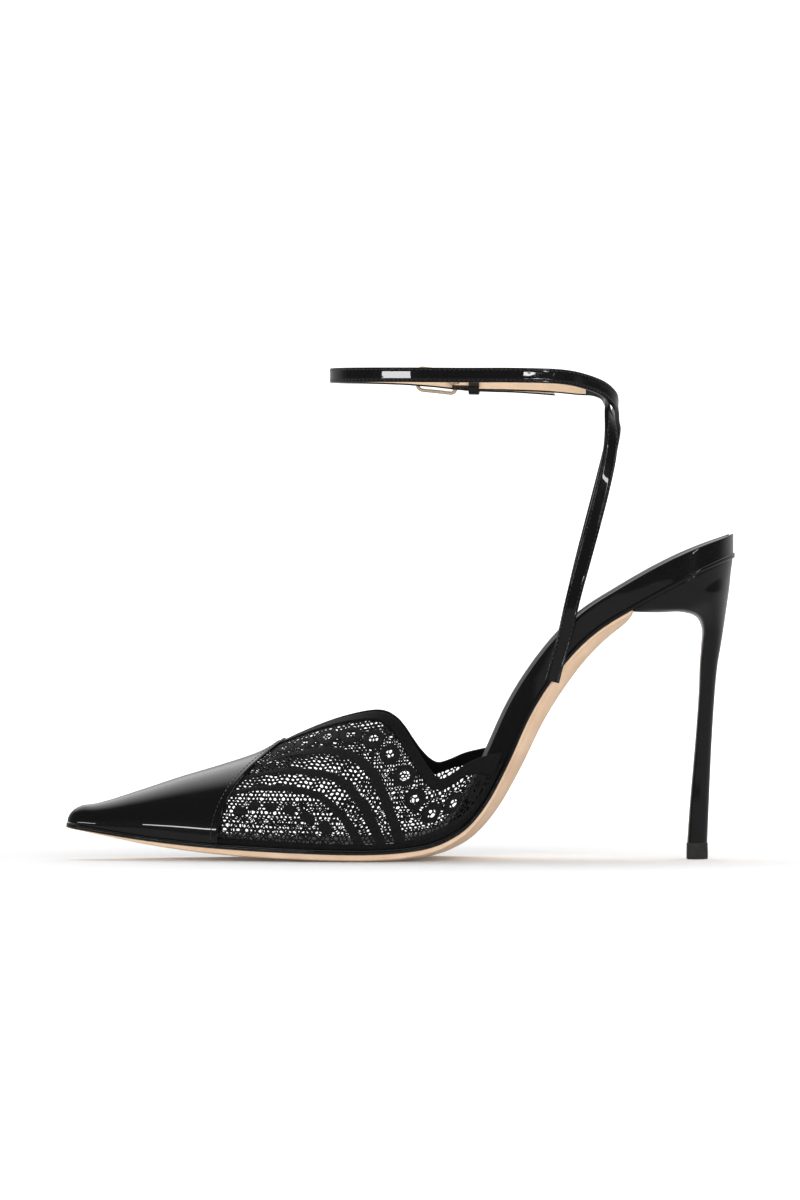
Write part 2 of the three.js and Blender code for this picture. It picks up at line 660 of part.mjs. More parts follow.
// Frames along a route: middle point, the way on, the way out and the way across.
function routeFrames(route, finesse) {
  const curve = new THREE.CatmullRomCurve3(
    route.map((row) => row.point),
    false,
    'centripetal',
  );
  const spans = route.length - 1;
  return Array.from({ length: spans * finesse + 1 }, (_, k) => {
    const u = k / (spans * finesse);
    const i = Math.min(Math.floor(k / finesse), spans - 1);
    const facing = THREE.MathUtils.degToRad(mix(route[i].facing, route[i + 1].facing, k / finesse - i));
    const onward = curve.getTangent(u);
    const outward = new THREE.Vector3(Math.cos(facing), Math.sin(facing), 0);
    outward.addScaledVector(onward, -outward.dot(onward)).normalize();
    return {
      middle: curve.getPoint(u),
      onward,
      outward,
      across: new THREE.Vector3().crossVectors(outward, onward),
    };
  });
}

// A point beside a frame's middle.
const beside = (frame, out, over, on = 0) =>
  frame.middle
    .clone()
    .addScaledVector(frame.outward, out)
    .addScaledVector(frame.across, over)
    .addScaledVector(frame.onward, on);

// A strap: a flat section with broken edges, carried along the frames.
function ribbon(frames) {
  const w = strapWidth / 2;
  const t = strapThickness / 2;
  const c = strapChamfer;
  const section = [
    [t, w - c],
    [t - c, w],
    [c - t, w],
    [-t, w - c],
    [-t, c - w],
    [c - t, -w],
    [t - c, -w],
    [t, c - w],
  ];
  return loft(frames.map((frame) => section.map(([out, over]) => beside(frame, out, over))));
}

// The space up to just over the rand, which the straps' lower ends stand clear of.
function seatBlock() {
  const reach = loopWidth;
  const depth = 3 * strapThickness;
  const high = randThickness + clearance;
  const loops = lengths(strapFoot - blockReach, strapFoot + blockReach, blockStations).map((length) => [
    place(length, -reach, -depth),
    place(length, reach, -depth),
    place(length, reach, high),
    place(length, -reach, high),
  ]);
  return asSolid(loft(loops));
}

// A round rod between two points, with more sides where it is turned on another piece.
function rod(from, to, radius, sides = 8) {
  const axis = new THREE.Vector3().subVectors(to, from);
  const made = new THREE.CylinderGeometry(radius, radius, axis.length(), sides);
  const upright = new THREE.Vector3(0, 1, 0);
  made.applyQuaternion(new THREE.Quaternion().setFromUnitVectors(upright, axis.normalize()));
  const middle = new THREE.Vector3().addVectors(from, to).multiplyScalar(0.5);
  return made.translate(middle.x, middle.y, middle.z);
}

const innerFrames = routeFrames(strapRoute(-1, innerRoute), strapFinesse);
const outerFrames = routeFrames(strapRoute(1, outerRoute), strapFinesse);

// The buckle hangs on the end of the inner strap.
const buckleSeat = (() => {
  const end = innerFrames[innerFrames.length - 1];
  const barHalf = frameHeight / 2 - barRadius;
  const front = beside(end, frameSwing, 0, frameLength).add(new THREE.Vector3(0, 0, frameLift));
  return { end, barHalf, rear: end.middle, front, up: end.across };
})();
const alongBar = (middle, over) => middle.clone().addScaledVector(buckleSeat.up, over);

function prongRod(extra) {
  const { end, rear, front } = buckleSeat;
  const stand = barRadius + clearance + prongRadius;
  const root = rear
    .clone()
    .addScaledVector(end.onward, stand - prongBack)
    .addScaledVector(end.outward, prongLift);
  const tip = front.clone().addScaledVector(end.outward, stand).addScaledVector(end.onward, 2 * prongRadius);
  return asSolid(rod(root, tip, prongRadius + extra));
}

function barSleeve(radius, half) {
  return asSolid(rod(alongBar(buckleSeat.rear, -half), alongBar(buckleSeat.rear, half), radius, 16));
}

// Inner strap: its end is folded round the buckle's rear bar, with a slot for the prong.
function strapInner() {
  const bore = barRadius + clearance;
  const slot = prongEye / 2 + clearance;
  const body = asSolid(ribbon(innerFrames))
    .add(barSleeve(bore + foldWall, strapWidth / 2))
    .subtract(barSleeve(bore, strapWidth))
    .subtract(barSleeve(bore + foldWall + 2 * clearance, slot))
    .subtract(seatBlock());
  return fromSolid(body);
}

// Outer strap, with the hole that the prong goes through.
function strapOuter() {
  return fromSolid(asSolid(ribbon(outerFrames)).subtract(prongRod(clearance)).subtract(seatBlock()));
}

function buckleFrame() {
  const { rear, front, barHalf } = buckleSeat;
  const corners = [
    alongBar(rear, -barHalf),
    alongBar(rear, barHalf),
    alongBar(front, barHalf),
    alongBar(front, -barHalf),
  ];
  const bars = corners.map((corner, i) => asSolid(rod(corner, corners[(i + 1) % 4], barRadius)));
  const knees = corners.map((corner) => {
    const ball = new THREE.SphereGeometry(barRadius * kneeGrow, 8, 6);
    return asSolid(ball.translate(corner.x, corner.y, corner.z));
  });
  return fromSolid([...bars, ...knees].reduce((sum, body) => sum.add(body)));
}

function bucklePin() {
  const bore = barRadius + clearance / 2;
  const body = prongRod(0)
    .add(barSleeve(bore + 2 * prongRadius - 2 * prongBack, prongEye / 2))
    .subtract(barSleeve(bore, strapWidth));
  return fromSolid(body);
}

// Keeper: a loop round both straps, behind the buckle.
function keeper() {
  const rear = buckleSeat.rear;
  const seat = innerFrames.reduce((best, frame) => {
    const miss = (f) => Math.abs(f.middle.distanceTo(rear) - keeperPlace);
    return miss(frame) < miss(best) ? frame : best;
  });
  const slack = 2 * clearance;
  const box = (extra, length) => {
    const low = -strapThickness / 2 - slack - extra;
    const high = 1.5 * strapThickness + 2 * slack + extra;
    const half = strapWidth / 2 + slack + extra;
    const loop = (on) => [
      beside(seat, low, -half, on),
      beside(seat, high, -half, on),
      beside(seat, high, half, on),
      beside(seat, low, half, on),
    ];
    return asSolid(loft([loop(-length / 2), loop(length / 2)]));
  };
  return fromSolid(box(keeperWall, keeperWidth).subtract(box(0, keeperWidth + keeperWall)));
}

const patent = { color: 0x0b0b0d, roughness: 0.1, metalness: 0 };
const pieces = [
  ['outsole', outsole, { color: 0xdcb48c, roughness: 0.45, metalness: 0 }],
  ['rand', rand, patent],
  ['footbed', footbed, patent],
  ['upper', upper, { color: 0x1a1718, roughness: 0.9, metalness: 0 }],
  ['toe_cap', toeCap, patent],
  ['heel', heel, patent],
  ['top_piece', topPiece, { color: 0x161616, roughness: 0.5, metalness: 0 }],
  ['strap_inner', strapInner, patent],
  ['strap_outer', strapOuter, patent],
  ['buckle_frame', buckleFrame, { color: 0xd9cba8, roughness: 0.2, metalness: 1 }],
  ['buckle_prong', bucklePin, { color: 0xd9cba8, roughness: 0.2, metalness: 1 }],
  ['keeper', keeper, patent],
];

const pump = new THREE.Group();
for (const [name, make, look] of pieces) {
  const mesh = new THREE.Mesh(make(), new THREE.MeshStandardMaterial(look));
  mesh.name = name;
  pump.add(mesh);
}

export default pump;
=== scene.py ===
import math

import bmesh
import bpy
import numpy as np
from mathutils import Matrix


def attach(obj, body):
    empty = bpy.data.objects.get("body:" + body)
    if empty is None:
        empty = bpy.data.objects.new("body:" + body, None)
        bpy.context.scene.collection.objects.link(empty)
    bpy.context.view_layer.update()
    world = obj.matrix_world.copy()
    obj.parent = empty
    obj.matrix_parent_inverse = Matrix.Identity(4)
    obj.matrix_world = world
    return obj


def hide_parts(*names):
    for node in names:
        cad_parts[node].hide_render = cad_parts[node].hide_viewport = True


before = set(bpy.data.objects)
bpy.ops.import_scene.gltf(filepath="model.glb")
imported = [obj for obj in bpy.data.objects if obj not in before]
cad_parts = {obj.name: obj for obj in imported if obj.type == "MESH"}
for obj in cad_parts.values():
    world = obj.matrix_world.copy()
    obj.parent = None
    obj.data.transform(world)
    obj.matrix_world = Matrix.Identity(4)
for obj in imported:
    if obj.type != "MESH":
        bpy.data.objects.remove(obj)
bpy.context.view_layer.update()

# Ankle strap pump, right foot: lace vamp, patent toe cap, wrapped footbed, stiletto and crossed straps.
# Sizes are in millimetres in the CAD's own frame; putMesh turns them into metres.
halfPi = math.pi / 2

# the last: the same driving sizes and tables as the part's source
last = {
    "shoeLength": 222.9,
    "toeReach": 98.6,
    "seatRise": 100.6,
    "ballWidth": 66.4,
    "peakRise": 50.2,
    "toeRound": 3.6,
    "noseRound": 6.5,
    "seatRound": 21.0,
    "clearance": 0.3,
    "randThickness": 1.5,
    "randMargin": 2.8,
    "randRearMargin": 0.5,
    "vampWall": 1.0,
    "sideBulge": 1.1,
    "wingEnd": 145.2,
    "leanFades": (0.86, 0.985),
    "marginFades": (-12.0, 8.0),
    "widthPower": 0.95,
    "heightPower": 1.08,
}

# along, rise, inner, outer, bed, edge, crown
bottomRows = np.array([
    (0.0, 0.106, 0.018, 0.018, 0.16, 0.06, 0.1),
    (0.025, 0.096, 0.045, 0.046, 0.2, 0.1, 0.16),
    (0.06, 0.083, 0.088, 0.092, 0.24, 0.2, 0.3),
    (0.127, 0.062, 0.175, 0.187, 0.3, 0.45, 0.65),
    (0.202, 0.045, 0.265, 0.285, 0.3, 0.7, 0.95),
    (0.277, 0.034, 0.355, 0.385, 0.3, 0.8, 1.15),
    (0.351, 0.027, 0.435, 0.47, 0.3, 0.8, 1.2),
    (0.425, 0.023, 0.476, 0.524, 0.3, 0.8, 1.25),
    (0.476, 0.025, 0.466, 0.53, 0.3, 0.8, 1.3),
    (0.513, 0.032, 0.44, 0.518, 0.3, 0.75, 1.35),
    (0.543, 0.044, 0.412, 0.5, 0.35, 0.7, 1.45),
    (0.572, 0.069, 0.378, 0.475, 0.5, 0.6, 1.6),
    (0.602, 0.115, 0.342, 0.445, 0.75, 0.5, 1.75),
    (0.632, 0.2, 0.312, 0.412, 0.93, 0.4, 1.9),
    (0.662, 0.327, 0.29, 0.382, 1.0, 0.35, 2.1),
    (0.692, 0.473, 0.28, 0.362, 1.0, 0.35, 2.3),
    (0.722, 0.582, 0.28, 0.35, 1.0, 0.35, 2.3),
    (0.759, 0.685, 0.288, 0.345, 1.02, 0.35, 2.1),
    (0.796, 0.759, 0.304, 0.346, 1.05, 0.35, 1.8),
    (0.844, 0.825, 0.33, 0.352, 1.08, 0.4, 1.2),
    (0.9, 0.894, 0.35, 0.358, 1.12, 0.4, 0.6),
    (0.951, 0.953, 0.36, 0.362, 1.1, 0.4, 0.5),
    (1.0, 1.0, 0.362, 0.362, 1.02, 0.4, 0.5),
])
riseColumn, innerColumn, outerColumn, bedColumn, edgeColumn, crownColumn = 1, 2, 3, 4, 5, 6

# along, rise of the ridge
ridgeRows = np.array([
    (0.0, 0.335), (0.045, 0.35), (0.108, 0.434), (0.17, 0.525), (0.233, 0.609), (0.288, 0.692),
    (0.326, 0.785), (0.37, 0.89), (0.45, 1.09), (0.54, 1.34), (0.62, 1.56), (0.7, 1.74),
])

# along, the lace's top edge on the inner side, on the outer side
toplineRows = np.array([
    (0.326, 0.785, 0.785), (0.35, 0.835, 0.835), (0.386, 0.9, 0.9), (0.422, 0.949, 0.95),
    (0.458, 0.976, 0.98), (0.478, 0.966, 0.972), (0.494, 0.921, 0.93), (0.506, 0.858, 0.87),
    (0.518, 0.773, 0.79), (0.53, 0.688, 0.715), (0.543, 0.603, 0.655), (0.556, 0.543, 0.625),
    (0.572, 0.56, 0.642), (0.595, 0.63, 0.685), (0.618, 0.675, 0.71), (0.652, 0.705, 0.735),
])


# from a at t 0 to b at t 1, in a straight line
def mix(a, b, t):
    return a + (b - a) * t


# smooth step: 3 t squared less 2 t cubed, between two values
def ease(low, high, v):
    t = np.clip((v - low) / (high - low), 0, 1)
    return t * t * (3 - 2 * t)


# quarter circle from 0 to 1: root of 1 less (1 - t) squared
def roundEnd(t):
    return np.sqrt(1 - (1 - np.clip(t, 0, 1)) ** 2)


# a cubic from a to b: its ends' slopes are given, and t runs from 0 to 1
def cubic(a, b, slopeA, slopeB, t):
    return (
        a * (2 * t**3 - 3 * t**2 + 1) + b * (3 * t**2 - 2 * t**3)
        + slopeA * (t**3 - 2 * t**2 + t) + slopeB * (t**3 - t**2)
    )


# values y between their places x: a cubic through them, whose slope at each is the mean slope of its
# neighbours; y may hold a number or a whole loop of points for each place
def through(x, y, at):
    end = len(x) - 1
    before = np.maximum(np.arange(end + 1) - 1, 0)
    after = np.minimum(np.arange(end + 1) + 1, end)
    deep = (1,) * (y.ndim - 1)
    slope = (y[after] - y[before]) / (x[after] - x[before]).reshape(-1, *deep)
    at = np.clip(at, x[0], x[-1])
    i = np.clip(np.searchsorted(x, at, side="right") - 1, 0, end - 1)
    span = (x[i + 1] - x[i]).reshape(at.shape + deep)
    t = (at - x[i]).reshape(at.shape + deep) / span
    return cubic(y[i], y[i + 1], slope[i] * span, slope[i + 1] * span, t)


# a table's column at a share of the length
def follow(rows, column, along):
    return through(rows[:, 0], rows[:, column], along)


# vectors divided by their length
def unit(v):
    return v / np.linalg.norm(v, axis=-1, keepdims=True)


# the part of a way that is square to another one
def squareTo(way, onward):
    return unit(way - onward * (way * onward).sum(-1, keepdims=True))


# a sine or cosine drawn toward its ends: its size to a power, with its sign kept
def squared(v, power):
    return np.sign(v) * np.abs(v) ** power


# distances along a path of points
def runAlong(path):
    return np.concatenate([[0], np.cumsum(np.linalg.norm(np.diff(path, axis=0), axis=1))])


# height of the last's bottom: the seat's rise times the table's share
def bottomRise(length):
    return last["seatRise"] * follow(bottomRows, riseColumn, length / last["shoeLength"])


# the bottom's slope as an angle, over a millimetre
def pitch(length):
    return np.arctan2(bottomRise(length + 0.5) - bottomRise(length - 0.5), 1.0)


# layers stack square to the bottom, and upright at the back of the seat
def lean(length):
    return pitch(length) * (1 - ease(*last["leanFades"], length / last["shoeLength"]))


# a point of the shoe from its length from the toe, its side and its height over the last's bottom
def place(length, side, height):
    angle = lean(length)
    return np.stack(
        np.broadcast_arrays(
            length - last["toeReach"] - np.sin(angle) * height,
            side,
            bottomRise(length) + np.cos(angle) * height,
        ),
        -1,
    )


# half width: the table's width and the margin, times a quarter circle at the toe and one at the seat
def halfWidth(length, hand, margin):
    inner = follow(bottomRows, innerColumn, length / last["shoeLength"])
    outer = follow(bottomRows, outerColumn, length / last["shoeLength"])
    toe = length - (last["randMargin"] - margin)
    seat = last["shoeLength"] - np.maximum(last["randRearMargin"] - margin, 0) - length
    width = last["ballWidth"] * np.where(np.asarray(hand) < 0, inner, outer) + margin
    return width * roundEnd(toe / last["toeRound"]) * roundEnd(seat / last["seatRound"])


# lengths from one end to the other, closer together at the two round ends
def lengths(low, high, count):
    t = np.linspace(0, 1, count)
    return mix(low, high, mix(t, (1 - np.cos(np.pi * t)) / 2, 0.8))


# margin that goes from its forepart value to its rear value at the wings' end
def marginAt(length, fore, rear):
    low, high = last["marginFades"]
    return mix(fore, rear, ease(last["wingEnd"] + low, last["wingEnd"] + high, length))


# height of the upper's foot: over the rand, which stands square to the bottom
def upperFoot(length):
    return bottomRise(length) + (last["randThickness"] + last["clearance"]) / np.cos(pitch(length))


# the upper's skin: turn runs from 0 at the rand to a right angle on the ridge. The side is the half
# width times a power of the cosine, and the height the ridge's rise times a power of the sine.
def skin(length, hand, turn, grow):
    margin = last["clearance"] + last["vampWall"] + grow
    foot = upperFoot(length)
    nose = roundEnd((length - (last["randMargin"] - margin)) / last["noseRound"])
    top = last["peakRise"] * follow(ridgeRows, 1, length / last["shoeLength"]) + grow
    bulge = last["sideBulge"] * ease(0, 30, length) * np.sin(2 * turn)
    cosine = np.maximum(np.cos(turn), 0) ** last["widthPower"]
    side = hand * (halfWidth(length, hand, margin) * cosine + bulge)
    rise = foot + (top - foot) * nose * np.sin(turn) ** last["heightPower"]
    return np.stack(np.broadcast_arrays(length - last["toeReach"], side, rise), -1)


# mesh helpers
# quads of a grid of rows by columns; either way may close on itself
def gridFaces(rows, columns, closeRows=False, closeColumns=False, start=0):
    i = np.arange(rows if closeRows else rows - 1)[:, None]
    j = np.arange(columns if closeColumns else columns - 1)[None, :]
    a = i * columns + j
    b = i * columns + (j + 1) % columns
    down = ((i + 1) % rows) * columns
    faces = np.stack([a, b, down + (j + 1) % columns, down + j], -1)
    return faces.reshape(-1, 4) + start


# a piece from points in millimetres: doubles merged, faces turned outwards, smooth up to an angle
def putMesh(name, points, faces, material, stands=(), sharp=40, uv=None):
    mesh = bpy.data.meshes.new(name)
    faces = faces.tolist() if isinstance(faces, np.ndarray) else faces
    mesh.from_pydata((np.asarray(points).reshape(-1, 3) * 0.001).tolist(), [], faces)
    if uv is not None:
        corner = np.empty(len(mesh.loops), int)
        mesh.loops.foreach_get("vertex_index", corner)
        layer = mesh.uv_layers.new(name="surface")
        layer.data.foreach_set("uv", np.asarray(uv).reshape(-1, 2)[corner].astype(np.float32).ravel())
    work = bmesh.new()
    work.from_mesh(mesh)
    bmesh.ops.remove_doubles(work, verts=work.verts, dist=2e-6)
    bmesh.ops.dissolve_degenerate(work, edges=work.edges, dist=1e-7)
    bmesh.ops.recalc_face_normals(work, faces=work.faces)
    work.to_mesh(mesh)
    work.free()
    mesh.polygons.foreach_set("use_smooth", np.ones(len(mesh.polygons), bool))
    mesh.set_sharp_from_angle(angle=math.radians(sharp))
    mesh.materials.append(material)
    piece = bpy.data.objects.new(name, mesh)
    bpy.context.scene.collection.objects.link(piece)
    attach(piece, "root")
    if stands:
        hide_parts(*stands)
    return piece


# a closed solid through loops[station, point], ends closed by fans
def loftFaces(loops, start=0):
    rows, columns = loops.shape[:2]
    body = gridFaces(rows, columns, closeColumns=True, start=start)
    ring = np.arange(columns)
    hub = start + rows * columns
    near = np.stack([np.full(columns, hub), start + (ring + 1) % columns, start + ring], -1)
    lastRow = start + (rows - 1) * columns
    far = np.stack([np.full(columns, hub + 1), lastRow + ring, lastRow + (ring + 1) % columns], -1)
    points = np.concatenate([loops.reshape(-1, 3), loops[:1].mean(1), loops[-1:].mean(1)])
    return points, body.tolist() + near.tolist() + far.tolist()


# a piece through loops that meet their first again, so that it closes on itself both ways
def putRing(name, loops, material, stands, sharp):
    faces = gridFaces(*loops.shape[:2], closeRows=True, closeColumns=True)
    return putMesh(name, loops, faces, material, stands, sharp)


# a closed solid as a piece; its surface places gain one for each end
def putLoft(name, loops, material, stands=(), sharp=40, uv=None):
    points, faces = loftFaces(loops)
    if uv is not None:
        uv = np.concatenate([uv.reshape(-1, 2), uv[:1].mean(1), uv[-1:].mean(1)])
    return putMesh(name, points, faces, material, stands, sharp, uv)


# materials
def newMaterial(name, **values):
    material = bpy.data.materials.new(name)
    material.use_nodes = True
    shader = material.node_tree.nodes["Principled BSDF"]
    for socket, value in values.items():
        shader.inputs[socket].default_value = value
    return material, material.node_tree, shader


# a node whose inputs are linked where they are sockets, and otherwise set
def addNode(tree, kind, inputs=None, **settings):
    node = tree.nodes.new(kind)
    for key, value in settings.items():
        setattr(node, key, value)
    for key, value in (inputs or {}).items():
        if isinstance(value, bpy.types.NodeSocket):
            tree.links.new(value, node.inputs[key])
        else:
            node.inputs[key].default_value = value
    return node


# places in the object's own space
def objectPlace(tree):
    return addNode(tree, "ShaderNodeTexCoord").outputs["Object"]


# places on the surface, in millimetres along the piece and across it
def surfacePlace(tree):
    return addNode(tree, "ShaderNodeUVMap", uv_map="surface").outputs["UV"]


# a noise in the object's own space; scale is in features a metre
def noise(tree, where, scale, detail=2.0, rough=0.5):
    made = addNode(
        tree, "ShaderNodeTexNoise", {"Vector": where, "Scale": scale, "Detail": detail, "Roughness": rough}
    )
    return made.outputs["Fac"]


# a colour between two, by a value
def ramp(tree, value, low, high, lowAt=0.3, highAt=0.7):
    made = addNode(tree, "ShaderNodeValToRGB", {"Fac": value})
    made.color_ramp.elements[0].position = lowAt
    made.color_ramp.elements[1].position = highAt
    made.color_ramp.elements[0].color = (*low, 1)
    made.color_ramp.elements[1].color = (*high, 1)
    return made.outputs["Color"]


# a value from 0 to 1, spread from low to high
def remap(tree, value, low, high):
    made = addNode(tree, "ShaderNodeMapRange", {"Value": value, "To Min": low, "To Max": high})
    return made.outputs["Result"]


# a normal tilted by a height's slope, over another normal where one is given
def bump(tree, height, distance, strength=1.0, under=None):
    inputs = {"Height": height, "Distance": distance, "Strength": strength}
    if under is not None:
        inputs["Normal"] = under
    return addNode(tree, "ShaderNodeBump", inputs).outputs["Normal"]


# links the three sockets that every finish sets
def setLooks(tree, shader, colour, roughness, normal):
    for socket, value in {"Base Color": colour, "Roughness": roughness, "Normal": normal}.items():
        tree.links.new(value, shader.inputs[socket])


# patent leather: black, under a clear coat that waves a little and shows the grain very faintly
def makePatent(name, wave, waveScale, coatRoughness=0.02):
    coat = {"Coat Weight": 1.0, "Coat Roughness": coatRoughness, "Coat IOR": 1.5}
    material, tree, shader = newMaterial(name, **{"Specular IOR Level": 0.06}, **coat)
    where = objectPlace(tree)
    grain = noise(tree, where, 1400, 2)
    waved = bump(tree, noise(tree, where, waveScale, 1.5), wave)
    tree.links.new(waved, shader.inputs["Coat Normal"])
    black = ramp(tree, grain, (0.0012, 0.0012, 0.0013), (0.0028, 0.0027, 0.0028))
    setLooks(tree, shader, black, remap(tree, grain, 0.22, 0.34), bump(tree, grain, 0.00001, 1.0, waved))
    return material


# smooth leather with pores, a little mottled
def makeLeather(name, low, high, roughness, poreScale, poreDepth):
    material, tree, shader = newMaterial(name, **{"Specular IOR Level": 0.35})
    where = objectPlace(tree)
    mottle = noise(tree, where, 90, 4, 0.6)
    pores = addNode(tree, "ShaderNodeTexVoronoi", {"Vector": where, "Scale": poreScale}).outputs["Distance"]
    worn = remap(tree, mottle, roughness - 0.06, roughness + 0.06)
    setLooks(tree, shader, ramp(tree, mottle, low, high), worn, bump(tree, pores, poreDepth))
    return material


# a wave texture that runs along the piece's own surface, stretched along u and along v
def surfaceWave(tree, stretch, distortion, direction="X"):
    run = addNode(tree, "ShaderNodeMapping", {"Vector": surfacePlace(tree), "Scale": (*stretch, 1)})
    inputs = {"Vector": run.outputs["Vector"], "Scale": 1.0, "Distortion": distortion}
    return addNode(tree, "ShaderNodeTexWave", inputs, bands_direction=direction).outputs["Fac"]


# lace thread and embroidery: black yarn whose strands run along the piece's own u
def makeThread(name, strands, twist, gloss=0.2, roughness=0.6):
    material, tree, shader = newMaterial(name, **{"Specular IOR Level": gloss, "Sheen Weight": 0.03})
    fuzz = noise(tree, objectPlace(tree), 2600, 3)
    black = ramp(tree, fuzz, (0.005, 0.0045, 0.005), (0.014, 0.012, 0.013))
    ridges = bump(tree, surfaceWave(tree, (twist, strands), 1.2, "DIAGONAL"), 0.00006)
    rough = remap(tree, fuzz, roughness, roughness + 0.25)
    setLooks(tree, shader, black, rough, bump(tree, fuzz, 0.00003, 1.0, ridges))
    return material


# ribbed tape: fine cross ribs along u and a soft edge roll
def makeTape(name):
    material, tree, shader = newMaterial(name, **{"Specular IOR Level": 0.1})
    fuzz = noise(tree, objectPlace(tree), 1800, 3)
    black = ramp(tree, fuzz, (0.004, 0.004, 0.0044), (0.009, 0.0085, 0.009))
    ribs = bump(tree, surfaceWave(tree, (420, 1), 0.4), 0.000008)
    setLooks(tree, shader, black, remap(tree, fuzz, 0.42, 0.6), bump(tree, fuzz, 0.00002, 1.0, ribs))
    return material


# polished pale gold with faint brushing
def makeMetal(name):
    material, tree, shader = newMaterial(name, Metallic=0.8)
    where = objectPlace(tree)
    cloud = noise(tree, where, 300, 3)
    gold = ramp(tree, cloud, (0.8, 0.68, 0.47), (0.9, 0.79, 0.6))
    scratches = bump(tree, noise(tree, where, 5000, 2), 0.000004)
    setLooks(tree, shader, gold, remap(tree, cloud, 0.12, 0.22), scratches)
    return material


# moulded rubber of the top piece
def makeRubber(name):
    material, tree, shader = newMaterial(name, **{"Specular IOR Level": 0.4})
    speck = noise(tree, objectPlace(tree), 1600, 3)
    black = ramp(tree, speck, (0.012, 0.012, 0.012), (0.025, 0.024, 0.023))
    setLooks(tree, shader, black, remap(tree, speck, 0.45, 0.62), bump(tree, speck, 0.00004))
    return material


patentSmooth = makePatent("patentSmooth", 0.00025, 45)
patentStrap = makePatent("patentStrap", 0.0001, 130)
patentRand = makePatent("patentRand", 0.00008, 260, 0.06)
soleLeather = makeLeather("soleLeather", (0.66, 0.45, 0.29), (0.76, 0.55, 0.385), 0.42, 900, 0.00002)
liningLeather = makeLeather("liningLeather", (0.66, 0.47, 0.31), (0.74, 0.54, 0.37), 0.5, 1300, 0.00002)
netThread = makeThread("netThread", 2.0, 3.0)
motifThread = makeThread("motifThread", 5.0, 9.0)
stitchThread = makeThread("stitchThread", 4.0, 6.0, 1.0, 0.18)
bindingTape = makeTape("bindingTape")
sockLow, sockHigh = (0.008, 0.0078, 0.008), (0.016, 0.015, 0.0155)
sockLeather = makeLeather("sockLeather", sockLow, sockHigh, 0.42, 1100, 0.00002)
paleGold = makeMetal("paleGold")
heelRubber = makeRubber("heelRubber")
print("materials made")

# outsole
outsole = {
    "thickness": 2.2,
    "foreMargin": 2.0,
    "waistMargin": -1.0,
    "breastPlace": 188.2,
    "endRound": 5.0,
    "endShare": 0.25,
    "crownPower": 2.4,
    "narrow": 3.0,
    "stations": 220,
    "acrossPoints": 25,
    "cornerInward": (0.0, 0.0, 0.05, 0.16, 0.34, 0.6),
    "cornerDepth": (0.0, 0.7, 0.84, 0.94, 0.99, 1.0),
}


# section: a short upright edge, a rounded corner, then a crown whose depth goes from the middle's to
# the edge's by a power of the distance out; nothing goes under the floor
def outsoleLoops():
    start = last["randMargin"] - outsole["foreMargin"]
    length = lengths(start, outsole["breastPlace"], outsole["stations"])[:, None]
    margin = marginAt(length, outsole["foreMargin"], outsole["waistMargin"])
    edge = outsole["thickness"] * follow(bottomRows, edgeColumn, length / last["shoeLength"])
    crown = outsole["thickness"] * follow(bottomRows, crownColumn, length / last["shoeLength"])
    closing = mix(outsole["endShare"], 1, roundEnd((outsole["breastPlace"] - length) / outsole["endRound"]))
    edge, crown = edge * closing, crown * closing
    inner, outer = halfWidth(length, -1, margin), halfWidth(length, 1, margin)
    inward, sunk = np.array(outsole["cornerInward"]), np.array(outsole["cornerDepth"])
    across = np.linspace(1, -1, outsole["acrossPoints"])[1:-1]
    shrink = np.minimum(1, (inner + outer) / outsole["narrow"])
    half = np.where(across > 0, outer, inner) - inward[-1] * shrink
    middleSide = across * np.maximum(half, 0)
    share = np.abs(middleSide) / np.maximum(np.where(across > 0, outer, inner), 1e-6)
    middleDepth = mix(crown, edge, share ** outsole["crownPower"])
    corner = edge * sunk
    side = np.concatenate([outer - inward * shrink, middleSide, -(inner - inward[::-1] * shrink)], 1)
    depth = np.concatenate([corner, middleDepth, corner[:, ::-1]], 1)
    points = place(length, side, -depth)
    points[..., 2] = np.maximum(points[..., 2], 0)
    return points


putLoft("outsoleLeather", outsoleLoops(), soleLeather, ["outsole"], 50)

# rand
rand = {"stations": 240, "top": 1.62, "low": -0.02, "roundPoints": 9}


# section: flat above and below, with a half circle at each side
def randLoops():
    length = lengths(0.0, last["shoeLength"], rand["stations"])[:, None]
    margin = marginAt(length, last["randMargin"], last["randRearMargin"])
    inner, outer = halfWidth(length, -1, margin), halfWidth(length, 1, margin)
    radius = (rand["top"] - rand["low"]) / 2
    turn = np.linspace(-halfPi, halfPi, rand["roundPoints"])
    inward = radius * (1 - np.cos(turn)) * np.minimum(1, (inner + outer) / (4 * radius))
    height = rand["low"] + radius * (1 + np.sin(turn))
    side = np.concatenate([outer - inward, -(inner - inward[:, ::-1])], 1)
    return place(length, side, np.concatenate([height, height[::-1]])[None, :])


putLoft("randPatent", randLoops(), patentRand, ["rand"], 60)

# footbed: the wrapped board, and the sock lining on it
footbed = {
    "thickness": 6.2,
    "edgeRound": 1.2,
    "roundOfHeight": 0.45,
    "roundOfWidth": 0.2,
    "roundPoints": 7,
    "acrossPoints": 13,
    "toeGap": 3.0,
    "toeTuck": 1.4,
    "noseReach": 30.0,
    "dish": 0.6,
    "dishWidth": 12.0,
    "stations": 240,
}
sock = {
    "from": 9.0,
    "toeRound": 4.0,
    "backInset": 1.5,
    "seatRound": 19.0,
    "inset": 1.7,
    "insetShare": 0.16,
    "thickness": 0.55,
    "lift": 0.05,
    "sunk": 0.35,
    "dishReach": 0.93,
    "edgeShare": 0.1,
    "acrossPoints": 15,
}


# height of the footbed's top: over the rand by the thickness times the table's share
def bedTop(length):
    low = last["randThickness"] + last["clearance"]
    return low + footbed["thickness"] * follow(bottomRows, bedColumn, length / last["shoeLength"])


